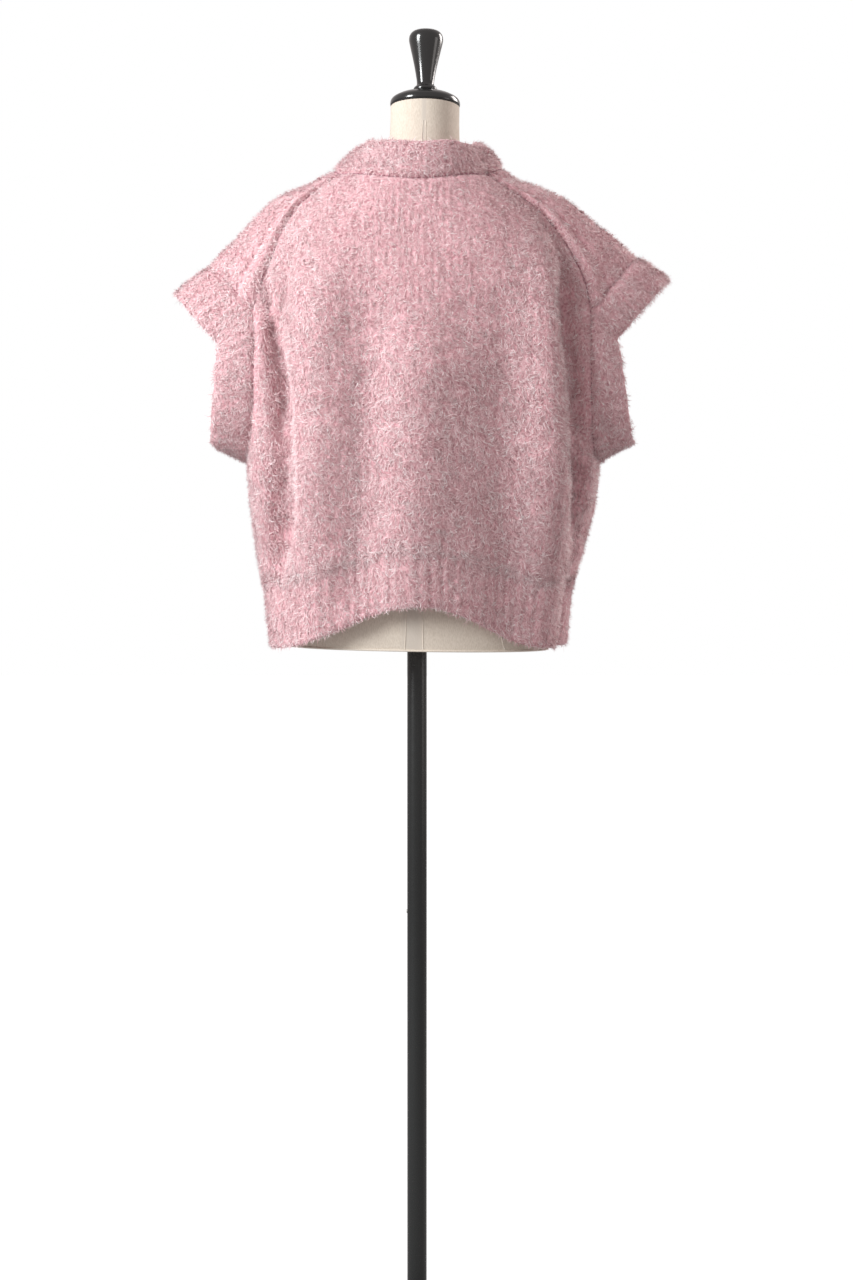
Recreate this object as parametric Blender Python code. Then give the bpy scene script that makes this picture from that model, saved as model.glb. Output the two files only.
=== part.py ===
"""Fluffy knitted vest worn by a limbless dress form on a pole stand.

The front of the vest faces -Y and +Z is up. The origin is on the floor, under the middle of the base.
The wearer's left is +X. All sizes are in metres.
"""
import math
from collections import namedtuple

import bmesh
import bpy
import numpy as np

for old in list(bpy.data.objects):
    bpy.data.objects.remove(old, do_unlink=True)

# Driving dimensions of the cloth
WALL = 0.0035
RIB_WALL = 0.0045
COLLAR_WALL = 0.0075
SEAM_GAP = 0.0003
RIB_RAISE = 0.0020
WELT_RAISE = 0.0028
PANEL_COLUMNS = 36
HEM_SPLIT = 2
BAND_SPLIT = 3
EDGE_ROUNDING = 0.28
SHARP_ANGLE = math.radians(50.0)

# Driving dimensions of the stand
POLE_RADIUS = 0.0134
FORM_BOTTOM = 0.963
FORM_LEAN = 0.0150
NECK_TOP = 1.702
NECK_TILT = math.radians(9.0)
BASE_RADIUS = 0.190
BASE_THICKNESS = 0.010
BASE_BEVEL = 0.002
CONTACT_GAP = 0.0003
NECK_MIDDLE_Y = -0.008
FORM_SIDES = 32
FORM_ROWS = 24
PLATE_SIDES = 40
CAP_SIDES = 32
POLE_SIDES = 24

# The sections of the body, from the hem to the collar seam. Each row gives both ends of a section, which lie
# on the side seams, then on the armhole seams, then on the raglan seams, and its middle, at the back and front.
# power and root set how square the section is: y falls from middle to end as (1 - s ** power) ** (1 / root).
Section = namedtuple(
    "Section",
    "left_x right_x end_z back_y front_y back_mid_y back_mid_z front_mid_y front_mid_z power root",
)
SECTIONS = (
    Section(0.1990, 0.1870, 0.9640, 0.000, 0.000, 0.1300, 1.0235, -0.1500, 0.990, 2.6, 2.6),
    Section(0.2090, 0.1990, 1.0520, 0.000, 0.000, 0.1320, 1.0985, -0.1520, 1.075, 2.6, 2.6),
    Section(0.2215, 0.2200, 1.1070, 0.000, 0.000, 0.1340, 1.1400, -0.1550, 1.125, 2.7, 2.7),
    Section(0.2265, 0.2420, 1.1640, 0.000, 0.000, 0.1370, 1.1860, -0.1590, 1.178, 3.0, 3.0),
    Section(0.2315, 0.2485, 1.2140, 0.000, 0.000, 0.1390, 1.2260, -0.1630, 1.224, 3.2, 3.4),
    Section(0.2285, 0.2430, 1.2235, 0.034, -0.032, 0.1395, 1.2360, -0.1640, 1.236, 3.2, 2.4),
    Section(0.2255, 0.2385, 1.2450, 0.057, -0.054, 0.1390, 1.2550, -0.1645, 1.257, 3.2, 1.6),
    Section(0.2220, 0.2350, 1.3000, 0.076, -0.073, 0.1380, 1.3030, -0.1640, 1.306, 3.2, 1.3),
    Section(0.2205, 0.2345, 1.3600, 0.078, -0.076, 0.1360, 1.3600, -0.1600, 1.358, 3.4, 1.2),
    Section(0.2200, 0.2350, 1.4000, 0.073, -0.073, 0.1345, 1.3980, -0.1530, 1.393, 3.4, 1.2),
    Section(0.2215, 0.2350, 1.4215, 0.068, -0.070, 0.1330, 1.4180, -0.1490, 1.412, 3.4, 1.2),
    Section(0.2092, 0.2254, 1.4650, 0.066, -0.067, 0.1280, 1.4610, -0.1380, 1.444, 3.2, 1.2),
    Section(0.1970, 0.2130, 1.4910, 0.062, -0.062, 0.1230, 1.4860, -0.1310, 1.463, 3.0, 1.2),
    Section(0.1900, 0.2000, 1.5140, 0.057, -0.057, 0.1180, 1.5090, -0.1250, 1.484, 2.8, 1.2),
    Section(0.1780, 0.1825, 1.5390, 0.051, -0.051, 0.1110, 1.5340, -0.1190, 1.506, 2.6, 1.2),
    Section(0.1597, 0.1555, 1.5665, 0.046, -0.046, 0.1020, 1.5620, -0.1140, 1.530, 2.4, 1.2),
    Section(0.1355, 0.1260, 1.5850, 0.043, -0.042, 0.0950, 1.5820, -0.1090, 1.546, 2.2, 1.2),
    Section(0.1060, 0.0950, 1.6070, 0.040, -0.038, 0.0880, 1.5985, -0.1050, 1.560, 2.0, 1.2),
)
RIB_TOP = 1
UNDERARM = 4
RAGLAN_FOOT = 10
NECK = 17

# Vertical folds. Their places are measured along the cloth from its middle, positive to the wearer's left, at
# the fold's low and high ends. height is out of the cloth if positive, and a valley if negative.
Fold = namedtuple("Fold", "panel low_place high_place width height low_z high_z fade")
FOLDS = (
    Fold("back", 0.140, 0.130, 0.034, 0.010, 0.90, 1.40, 0.12),
    Fold("back", 0.206, 0.196, 0.018, -0.024, 1.10, 1.44, 0.10),
    Fold("back", 0.088, 0.074, 0.028, -0.005, 0.90, 1.36, 0.14),
    Fold("back", 0.014, -0.006, 0.042, 0.012, 0.90, 1.36, 0.14),
    Fold("back", -0.120, -0.116, 0.040, -0.010, 1.00, 1.36, 0.12),
    Fold("back", -0.192, -0.180, 0.028, 0.011, 1.00, 1.46, 0.12),
    Fold("back", -0.250, -0.220, 0.017, -0.030, 1.18, 1.46, 0.10),
    Fold("front", -0.250, -0.296, 0.034, 0.029, 0.90, 1.17, 0.07),
    Fold("front", 0.196, 0.186, 0.024, 0.007, 0.90, 1.42, 0.08),
    Fold("front", 0.158, 0.150, 0.024, -0.009, 0.90, 1.24, 0.14),
    Fold("front", -0.154, -0.142, 0.026, -0.009, 0.90, 1.22, 0.14),
    Fold("front", 0.090, 0.102, 0.028, 0.006, 0.90, 1.22, 0.14),
    Fold("front", -0.084, -0.106, 0.028, 0.007, 0.90, 1.20, 0.14),
    Fold("front", 0.004, 0.000, 0.032, -0.005, 0.90, 1.18, 0.12),
)

# How far each shoulder cap rises over the line between its two raglan seams, from the foot to the collar.
CapRise = namedtuple("CapRise", "level out_left up_left out_right up_right")
CAP_RISES = (
    CapRise(10, 0.0610, 0.0625, 0.0640, 0.0740),
    CapRise(11, 0.0530, 0.0410, 0.0510, 0.0500),
    CapRise(12, 0.0460, 0.0330, 0.0420, 0.0410),
    CapRise(13, 0.0380, 0.0280, 0.0350, 0.0330),
    CapRise(14, 0.0260, 0.0260, 0.0300, 0.0280),
    CapRise(15, 0.0180, 0.0170, 0.0240, 0.0200),
    CapRise(16, 0.0140, 0.0080, 0.0180, 0.0130),
    CapRise(17, 0.0080, 0.0060, 0.0220, 0.0100),
)
# The welt along each raglan seam lies in the first places of this row across a cap, from seam to seam.
CAP_PLACES = (-1.0, -0.94, -0.84, -0.76, -0.42, 0.0, 0.42, 0.76, 0.84, 0.94, 1.0)
CAP_WELT = (0.0, 1.0, 1.0, 0.0, 0.0, 0.0, 0.0, 0.0, 1.0, 1.0, 0.0)
CAP_POWER = 2.1
CAP_ROOT = 0.9

# From the armhole seam to the band's free edge, at places round the armhole: 0 is the underarm, 1 the foot
# of the raglan seam and 2 the shoulder.
BandReach = namedtuple(
    "BandReach",
    "place out_left up_left bulge_left out_right up_right bulge_right towards_middle",
)
BAND_REACHES = (
    BandReach(0.00, 0.0440, 0.0260, 0.0020, 0.0440, 0.0320, 0.0000, 0.000),
    BandReach(0.18, 0.0500, 0.0150, 0.0040, 0.0550, 0.0180, 0.0030, 0.006),
    BandReach(0.45, 0.0560, -0.0080, 0.0060, 0.0520, -0.0080, 0.0060, 0.010),
    BandReach(0.75, 0.0520, -0.0270, 0.0060, 0.0420, -0.0250, 0.0060, 0.010),
    BandReach(1.00, 0.0520, -0.0420, 0.0060, 0.0370, -0.0400, 0.0060, 0.008),
    BandReach(1.50, 0.0520, -0.0400, 0.0040, 0.0400, -0.0360, 0.0050, 0.004),
    BandReach(2.00, 0.0490, -0.0375, 0.0020, 0.0466, -0.0310, 0.0050, 0.000),
)
ARMHOLE_X = 0.25
ARMHOLE_Z = 1.34
CHEST_Z = 1.30
BAND_ROWS = (0.0, 0.25, 0.80, 1.0)
BAND_RAISED = (0.5, 1.0, 1.0, 0.4)

# The collar's top edge is an oval, seen from above, and stands over the collar seam by these heights. It
# rises to the wearer's left by its tilt.
COLLAR_TOP_X = -0.0115
COLLAR_TOP_HALF_WIDTH = 0.0710
COLLAR_TOP_BACK_Y = 0.0640
COLLAR_TOP_FRONT_Y = -0.0780
COLLAR_BACK_HEIGHT = 0.0530
COLLAR_SIDE_HEIGHT = 0.0420
COLLAR_FRONT_HEIGHT = 0.0400
COLLAR_TILT = 0.045
COLLAR_BULGE = 0.004
COLLAR_ROWS = (0.0, 0.15, 0.55, 0.88, 1.0)
COLLAR_RAISED = (0.0, 1.0, 1.0, 1.0, 0.4)
ALL_SIDES = ("first_row", "last_row", "first_column", "last_column")

# The dress form, from its flat bottom to the top of its neck.
FormRing = namedtuple("FormRing", "z left_x right_x back_y front_y power")
FORM_RINGS = (
    FormRing(0.963, 0.1795, 0.1795, 0.112, -0.112, 2.2),
    FormRing(0.985, 0.1825, 0.1825, 0.116, -0.114, 2.2),
    FormRing(1.030, 0.1820, 0.1820, 0.119, -0.114, 2.2),
    FormRing(1.080, 0.1700, 0.1700, 0.114, -0.111, 2.2),
    FormRing(1.140, 0.1480, 0.1480, 0.102, -0.105, 2.2),
    FormRing(1.190, 0.1380, 0.1380, 0.096, -0.103, 2.2),
    FormRing(1.250, 0.1440, 0.1440, 0.101, -0.115, 2.2),
    FormRing(1.310, 0.1560, 0.1560, 0.107, -0.136, 2.2),
    FormRing(1.360, 0.1640, 0.1640, 0.112, -0.142, 2.2),
    FormRing(1.420, 0.1720, 0.1720, 0.116, -0.128, 2.2),
    FormRing(1.480, 0.1780, 0.1770, 0.114, -0.104, 2.1),
    FormRing(1.530, 0.1860, 0.1780, 0.104, -0.084, 2.0),
    FormRing(1.560, 0.1893, 0.1738, 0.091, -0.074, 1.8),
    FormRing(1.580, 0.1715, 0.1505, 0.080, -0.068, 1.65),
    FormRing(1.600, 0.1200, 0.1005, 0.068, -0.063, 1.7),
    FormRing(1.620, 0.0640, 0.0620, 0.056, -0.060, 2.0),
    FormRing(1.645, 0.0495, 0.0495, 0.044, -0.057, 2.0),
    FormRing(1.680, 0.0480, 0.0480, 0.040, -0.056, 2.0),
)

# Turned shapes of the cap and knob: height above the neck's top and radius.
CAP_PROFILE = (
    (0.0003, 0.0),
    (0.0003, 0.0478),
    (0.0070, 0.0482),
    (0.0120, 0.0455),
    (0.0180, 0.0345),
    (0.0220, 0.0),
)
KNOB_PROFILE = (
    (0.0223, 0.0),
    (0.0223, 0.0150),
    (0.0250, 0.0165),
    (0.0280, 0.0158),
    (0.0310, 0.0112),
    (0.0420, 0.0126),
    (0.0580, 0.0155),
    (0.0740, 0.0190),
    (0.0890, 0.0225),
    (0.0960, 0.0238),
    (0.1030, 0.0226),
    (0.1085, 0.0170),
    (0.1105, 0.0),
)
HUB_PROFILE = (
    (0.0103, 0.0),
    (0.0103, 0.0460),
    (0.0150, 0.0450),
    (0.0200, 0.0270),
    (0.0260, 0.0225),
    (0.0260, 0.0),
)


def smooth(places, values, at):
    """Cubic curve through values at places, which never swings past its neighbours."""
    places = np.asarray(places, float)
    values = np.asarray(values, float)
    at = np.asarray(at, float)
    rises = np.diff(values) / np.diff(places)
    product = rises[:-1] * rises[1:]
    total = rises[:-1] + rises[1:]
    inner = np.where(product > 0.0, 2.0 * product / np.where(total == 0.0, 1.0, total), 0.0)
    slopes = np.concatenate((rises[:1], inner, rises[-1:]))
    index = np.clip(np.searchsorted(places, at, side="right") - 1, 0, len(places) - 2)
    step = places[index + 1] - places[index]
    t = (at - places[index]) / step
    start = values[index] * (2 * t**3 - 3 * t**2 + 1) + slopes[index] * step * (t**3 - 2 * t**2 + t)
    return start + values[index + 1] * (3 * t**2 - 2 * t**3) + slopes[index + 1] * step * (t**3 - t**2)


def column(rows, name, at, places=None):
    """One named column of a table, read at a place between its rows."""
    if places is None:
        places = range(len(rows))
    return smooth(list(places), [getattr(row, name) for row in rows], at)


def unit(vectors):
    return vectors / np.maximum(np.linalg.norm(vectors, axis=-1, keepdims=True), 1e-12)


def fade_window(z, low, high, fade):
    """1 between low and high, falling smoothly to 0 over the fade beyond them."""
    rise = np.clip((z - low + fade) / fade, 0.0, 1.0)
    fall = np.clip((high + fade - z) / fade, 0.0, 1.0)
    return (3 * rise**2 - 2 * rise**3) * (3 * fall**2 - 2 * fall**3)


def column_evenness(level, half_length):
    """1 for even columns. Less draws them to the middle, so that they run on straight past the underarm."""
    share = np.clip((level - RIB_TOP) / (UNDERARM - RIB_TOP), 0.0, 1.0)
    return 1.0 + (min(1.0, ARMHOLE_HALF_SECTION / half_length) - 1.0) * share**2 * (3.0 - 2.0 * share)


def half_section(panel, level, side, across):
    """Points of one half of a section, at places across, 0 in the middle and 1 at its end, with its folds."""
    end_x = float(column(SECTIONS, "left_x" if side > 0 else "right_x", level))
    end_y = float(column(SECTIONS, panel + "_y", level))
    end_z = float(column(SECTIONS, "end_z", level))
    mid_y = float(column(SECTIONS, panel + "_mid_y", level))
    mid_z = float(column(SECTIONS, panel + "_mid_z", level))
    power = float(column(SECTIONS, "power", level))
    root = float(column(SECTIONS, "root", level))
    s = 1.0 - (1.0 - np.linspace(0.0, 1.0, SECTION_SAMPLES)) ** 2
    x = side * end_x * s
    y = end_y + (mid_y - end_y) * np.maximum(1.0 - s**power, 0.0) ** (1.0 / root)
    z = mid_z + (end_z - mid_z) * (1.0 - np.cos(math.pi * s)) / 2.0
    length = np.concatenate(([0.0], np.cumsum(np.hypot(np.diff(x), np.diff(y)))))
    evenness = column_evenness(level, length[-1])
    wanted = length[-1] * (evenness * across + (1.0 - evenness) * across**EVENNESS_POWER)
    points = np.stack([np.interp(wanted, length, values) for values in (x, y, z)], axis=-1)
    slope_x = np.interp(wanted, length, np.gradient(x, length))
    slope_y = np.interp(wanted, length, np.gradient(y, length))
    outward = np.stack([slope_y, -slope_x, np.zeros_like(slope_x)], axis=-1)
    outward *= -side if panel == "back" else side
    shift = np.zeros_like(wanted)
    for fold in FOLDS:
        if fold.panel == panel:
            part = np.clip((points[:, 2] - fold.low_z) / (fold.high_z - fold.low_z), 0.0, 1.0)
            centre = side * (fold.low_place + (fold.high_place - fold.low_place) * part)
            window = fade_window(points[:, 2], fold.low_z, fold.high_z, fold.fade)
            shift += fold.height * window * np.exp(-(((wanted - centre) / fold.width) ** 2))
    shift *= 1.0 - across**FOLD_END_POWER
    return points + unit(outward) * shift[:, None]


def section_points(panel, level, across):
    """Points of a whole section. across runs from -1 on the right to +1 on the left."""
    left = half_section(panel, level, 1, np.maximum(across, 0.0))
    right = half_section(panel, level, -1, np.maximum(-across, 0.0))
    return np.where((across >= 0.0)[:, None], left, right)


def panel_grid(panel, levels, across):
    return np.array([section_points(panel, level, across) for level in levels])


def relaxed(grid):
    """The same grid with its rows evened out inside its edges, so that no ledge shows at the underarms."""
    for _ in range(RELAX_PASSES):
        inside = (grid[:-2, 1:-1] + 2.0 * grid[1:-1, 1:-1] + grid[2:, 1:-1]) / 4.0
        grid = grid.copy()
        grid[1:-1, 1:-1] = inside
    return grid


SIDE_LEVELS = np.linspace(RIB_TOP, UNDERARM, 5)
ARMHOLE_LEVELS = np.linspace(UNDERARM, RAGLAN_FOOT, 10)
RAGLAN_LEVELS = np.linspace(RAGLAN_FOOT, NECK, 9)
BODY_LEVELS = np.concatenate((SIDE_LEVELS[:-1], ARMHOLE_LEVELS[:-1], RAGLAN_LEVELS))
HEM_LEVELS = (0.0, 0.08, 0.90, 1.0)
HEM_RAISED = (0.5, 1.0, 1.0, 0.0)
ACROSS = np.linspace(-1.0, 1.0, PANEL_COLUMNS + 1)
UNDERARM_ROW = len(SIDE_LEVELS) - 1
FOOT_ROW = UNDERARM_ROW + len(ARMHOLE_LEVELS) - 1
CAP_MIDDLE = CAP_PLACES.index(0.0)
FOLD_END_POWER = 12
EVENNESS_POWER = 9
RELAX_PASSES = 4
SECTION_SAMPLES = 400
ARMHOLE_HALF_SECTION = 0.248


def cap_grid(back, front, side):
    """The shoulder cap: rows run up the raglan seams, columns from the back seam to the front one."""
    end = -1 if side > 0 else 0
    name = "left" if side > 0 else "right"
    rows = []
    for number, level in enumerate(RAGLAN_LEVELS):
        back_seam = back[FOOT_ROW + number, end]
        front_seam = front[FOOT_ROW + number, end]
        places = [row.level for row in CAP_RISES]
        out = float(column(CAP_RISES, "out_" + name, level, places))
        up = float(column(CAP_RISES, "up_" + name, level, places))
        row = []
        for place in CAP_PLACES:
            share = (place + 1.0) / 2.0
            lift = (1.0 - abs(place) ** CAP_POWER) ** CAP_ROOT
            row.append(back_seam * (1 - share) + front_seam * share + lift * np.array((side * out, 0.0, up)))
        rows.append(row)
    return np.array(rows)


def grid_normals(points, inside):
    """Normals of a grid of points, which point away from a place inside the garment."""
    normals = unit(np.cross(np.gradient(points, axis=1), np.gradient(points, axis=0)))
    away = np.sum(normals * (points - np.array(inside)))
    return normals * math.copysign(1.0, away)


def share_normals(grids):
    """Where pieces meet at a point, they all get the mean of their normals there."""
    sums = {}
    for points, normals in grids:
        for point, normal in zip(points.reshape(-1, 3), normals.reshape(-1, 3)):
            key = tuple(np.round(point, 5))
            sums[key] = sums.get(key, np.zeros(3)) + normal
    for points, normals in grids:
        for row in range(points.shape[0]):
            for spot in range(points.shape[1]):
                normals[row, spot] = unit(sums[tuple(np.round(points[row, spot], 5))])


def inset_edges(points, normals, sides, closed=False):
    """How far each edge point moves inwards, in the cloth, to leave half of the gap at a seam."""
    moves = np.zeros_like(points)
    edges = {
        "first_row": (0, 1),
        "last_row": (-1, -2),
        "first_column": (0, 1),
        "last_column": (-1, -2),
    }
    for side in sides:
        edge, inside = edges[side]
        by_column = side.endswith("column")
        line = points[:, edge] if by_column else points[edge]
        inner = points[:, inside] if by_column else points[inside]
        normal = normals[:, edge] if by_column else normals[edge]
        if closed:
            tangent = np.roll(line, -1, axis=0) - np.roll(line, 1, axis=0)
        else:
            tangent = np.gradient(line, axis=0)
        inward = unit(np.cross(tangent, normal))
        inward *= np.sign(np.sum(inward * (inner - line), axis=-1, keepdims=True))
        if by_column:
            moves[:, edge] += inward * SEAM_GAP / 2.0
        else:
            moves[edge] += inward * SEAM_GAP / 2.0
    return moves


def subdivide(grid, count):
    """A grid with count columns for each span between two that it had, on straight lines between them."""
    shares = np.arange(count)[None, None, :, None] / count
    spans = grid[:, :-1, None] * (1 - shares) + grid[:, 1:, None] * shares
    fine = spans.reshape(grid.shape[0], -1, 3)
    return np.concatenate((fine, grid[:, -1:]), axis=1)


def rib_heights(columns, rows_raised):
    """Height of the ribs at each point: every second column is a ridge."""
    ridges = np.arange(columns) % 2
    return RIB_RAISE * np.outer(rows_raised, ridges)


def band_half(armhole, shoulder, side, inward):
    """Flat rows of half a band, from the underarm to the shoulder, and how far each column bulges out."""
    seam = np.concatenate((armhole, shoulder))
    name = "left" if side > 0 else "right"
    places = [row.place for row in BAND_REACHES]
    at = np.concatenate((np.linspace(0.0, 1.0, len(armhole)), np.linspace(1.0, 2.0, len(shoulder) + 1)[1:]))
    out = side * column(BAND_REACHES, "out_" + name, at, places)
    up = column(BAND_REACHES, "up_" + name, at, places)
    towards = inward * column(BAND_REACHES, "towards_middle", at, places)
    reach = np.stack([out, towards, up], axis=-1)
    rows = np.array([seam + reach * share for share in BAND_ROWS])
    return rows, column(BAND_REACHES, "bulge_" + name, at, places)


def band_grids(back, front, cap, side):
    """Both halves of an armhole band: columns run from the underarm to the shoulder, rows from the seam out."""
    end = -1 if side > 0 else 0
    back_rows, bulge = band_half(back[UNDERARM_ROW:FOOT_ROW + 1, end], cap[0, 1:CAP_MIDDLE + 1], side, -1.0)
    front_rows = band_half(front[UNDERARM_ROW:FOOT_ROW + 1, end], cap[0, CAP_MIDDLE:-1][::-1], side, 1.0)[0]
    ring = np.concatenate((back_rows, front_rows[:, -2:0:-1]), axis=1)
    heights = np.outer(np.sin(math.pi * np.array(BAND_ROWS)), np.concatenate((bulge, bulge[-2:0:-1])))
    ring = ring + ring_normals(ring, (side * ARMHOLE_X, 0.0, ARMHOLE_Z)) * heights[:, :, None]
    shoulder = back_rows.shape[1] - 1
    front_half = np.concatenate((ring[:, shoulder:], ring[:, :1]), axis=1)[:, ::-1]
    return {"back": ring[:, :shoulder + 1], "front": front_half}


def collar_loop(back, front, caps):
    """The collar seam, once round from the wearer's left shoulder across the back."""
    left = caps[1][-1]
    right = caps[-1][-1]
    return np.concatenate(
        (left[CAP_MIDDLE:0:-1], back[-1, ::-1], right[1:], front[-1, 1:], left[-2:CAP_MIDDLE:-1])
    )


def collar_grid(back, front, caps):
    """The collar: columns run round the neck, rows from the seam to the top edge."""
    seam = collar_loop(back, front, caps)
    centre = np.array((COLLAR_TOP_X, (COLLAR_TOP_BACK_Y + COLLAR_TOP_FRONT_Y) / 2.0))
    angle = np.arctan2(seam[:, 1] - centre[1], seam[:, 0] - centre[0])
    depth = (COLLAR_TOP_BACK_Y - COLLAR_TOP_FRONT_Y) / 2.0
    top_x = centre[0] + COLLAR_TOP_HALF_WIDTH * np.cos(angle)
    top_y = centre[1] + depth * np.sin(angle)
    to_back = np.maximum(np.sin(angle), 0.0) ** 2
    to_front = np.maximum(-np.sin(angle), 0.0) ** 2
    height = COLLAR_SIDE_HEIGHT + (COLLAR_BACK_HEIGHT - COLLAR_SIDE_HEIGHT) * to_back
    height += (COLLAR_FRONT_HEIGHT - COLLAR_SIDE_HEIGHT) * to_front
    top_z = seam[:, 2] + height + COLLAR_TILT * (top_x - COLLAR_TOP_X)
    top = np.stack([top_x, top_y, top_z], axis=-1)
    rows = np.array([seam * (1 - share) + top * share for share in COLLAR_ROWS])
    bulge = COLLAR_BULGE * np.sin(math.pi * np.array(COLLAR_ROWS))[:, None, None]
    return rows + ring_normals(rows, (0.0, 0.0, CHEST_Z)) * bulge


def ring_normals(points, inside):
    """Normals of a grid whose last column runs on into its first one."""
    wide = np.concatenate((points[:, -2:], points, points[:, :2]), axis=1)
    return grid_normals(wide, inside)[:, 2:-2]


def make_material(name, colour, roughness, metallic=0.0):
    material = bpy.data.materials.new(name)
    material.use_nodes = True
    shader = material.node_tree.nodes["Principled BSDF"]
    shader.inputs["Base Color"].default_value = (*colour, 1.0)
    shader.inputs["Roughness"].default_value = roughness
    shader.inputs["Metallic"].default_value = metallic
    return material


PINK = make_material("pink_knit", (0.76, 0.53, 0.55), 0.95)
RIB_PINK = make_material("pink_rib", (0.72, 0.49, 0.51), 0.95)
LINEN = make_material("form_linen", (0.88, 0.83, 0.75), 0.85)
BLACK = make_material("black_gloss", (0.012, 0.012, 0.012), 0.25)
SATIN = make_material("black_satin", (0.015, 0.016, 0.016), 0.42, 0.6)


def make_object(name, points, faces, material):
    """One closed solid, with its faces pointing out."""
    mesh = bpy.data.meshes.new(name)
    mesh.from_pydata([tuple(point) for point in points], [], faces)
    shape = bmesh.new()
    shape.from_mesh(mesh)
    bmesh.ops.recalc_face_normals(shape, faces=shape.faces)
    if shape.calc_volume(signed=True) < 0:
        bmesh.ops.reverse_faces(shape, faces=shape.faces)
    shape.to_mesh(mesh)
    shape.free()
    mesh.materials.append(material)
    mesh.shade_smooth()
    mesh.set_sharp_from_angle(angle=SHARP_ANGLE)
    piece = bpy.data.objects.new(name, mesh)
    bpy.context.scene.collection.objects.link(piece)
    return piece


def make_wall(name, outer, inner, material, closed=False):
    """A cloth wall from two grids of points. closed joins the last column to the first."""
    rows, columns = outer.shape[:2]
    points = np.concatenate((outer.reshape(-1, 3), inner.reshape(-1, 3)))
    shift = rows * columns
    spans = columns if closed else columns - 1
    faces = []
    for row in range(rows - 1):
        for spot in range(spans):
            start = row * columns + spot
            stop = row * columns + (spot + 1) % columns
            faces.append((start, stop, stop + columns, start + columns))
            faces.append((start + shift, start + columns + shift, stop + columns + shift, stop + shift))
    for row in (0, rows - 1):
        for spot in range(spans):
            start = row * columns + spot
            stop = row * columns + (spot + 1) % columns
            faces.append((start, start + shift, stop + shift, stop))
    if not closed:
        for spot in (0, columns - 1):
            for row in range(rows - 1):
                start = row * columns + spot
                faces.append((start, start + columns, start + columns + shift, start + shift))
    return make_object(name, points, faces, material)


def add_cloth(name, points, normals, material, wall, sides, raised=None, closed=False, free_row=None):
    """A cloth piece: its outer side carries the raised form and its inner side is plain."""
    moves = inset_edges(points, normals, sides, closed)
    if raised is None:
        raised = np.zeros(points.shape[:2])
    outer = points + moves + normals * raised[:, :, None]
    inner = points + moves - normals * wall
    if free_row is not None:
        outer[free_row] -= normals[free_row] * wall * EDGE_ROUNDING
        inner[free_row] += normals[free_row] * wall * EDGE_ROUNDING
    return make_wall(name, outer, inner, material, closed)


def add_vest():
    """The two panels, the caps, the hem ribs, the armhole bands and the collar."""
    back = relaxed(panel_grid("back", BODY_LEVELS, ACROSS))
    front = relaxed(panel_grid("front", BODY_LEVELS, ACROSS))
    hems = {panel: panel_grid(panel, HEM_LEVELS, ACROSS) for panel in ("back", "front")}
    caps = {side: cap_grid(back, front, side) for side in (1, -1)}
    bands = {side: band_grids(back, front, caps[side], side) for side in (1, -1)}
    collar = collar_grid(back, front, caps)
    chest = (0.0, 0.0, CHEST_Z)
    grids = {
        "back_panel": [back, grid_normals(back, chest)],
        "front_panel": [front, grid_normals(front, chest)],
        "hem_rib_back": [hems["back"], grid_normals(hems["back"], chest)],
        "hem_rib_front": [hems["front"], grid_normals(hems["front"], chest)],
        "shoulder_cap_left": [caps[1], grid_normals(caps[1], chest)],
        "shoulder_cap_right": [caps[-1], grid_normals(caps[-1], chest)],
        "collar": [collar, ring_normals(collar, chest)],
    }
    for side, word in ((1, "left"), (-1, "right")):
        for panel, points in bands[side].items():
            normals = grid_normals(points, (side * ARMHOLE_X, 0.0, ARMHOLE_Z))
            grids["armhole_band_" + word + "_" + panel] = [points, normals]
    share_normals(grids.values())

    for name in ("back_panel", "front_panel"):
        add_cloth(name, *grids[name], PINK, WALL, ALL_SIDES)
    for name in ("shoulder_cap_left", "shoulder_cap_right"):
        welt = WELT_RAISE * np.outer(np.ones(len(RAGLAN_LEVELS)), CAP_WELT)
        add_cloth(name, *grids[name], PINK, WALL, ALL_SIDES, raised=welt)
    for name in ("hem_rib_back", "hem_rib_front"):
        points, normals = (subdivide(grid, HEM_SPLIT) for grid in grids[name])
        ribs = rib_heights(points.shape[1], HEM_RAISED)
        seams = ("last_row", "first_column", "last_column")
        add_cloth(name, points, unit(normals), RIB_PINK, RIB_WALL, seams, raised=ribs, free_row=0)
    for name in grids:
        if name.startswith("armhole_band"):
            points, normals = (subdivide(grid, BAND_SPLIT) for grid in grids[name])
            ribs = rib_heights(points.shape[1], BAND_RAISED)
            seams = ("first_row", "first_column", "last_column")
            add_cloth(name, points, unit(normals), RIB_PINK, RIB_WALL, seams, raised=ribs, free_row=-1)
    points, normals = grids["collar"]
    ribs = rib_heights(points.shape[1], COLLAR_RAISED)
    seams = ("first_row",)
    add_cloth("collar", points, normals, RIB_PINK, COLLAR_WALL, seams, raised=ribs, closed=True, free_row=-1)


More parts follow.
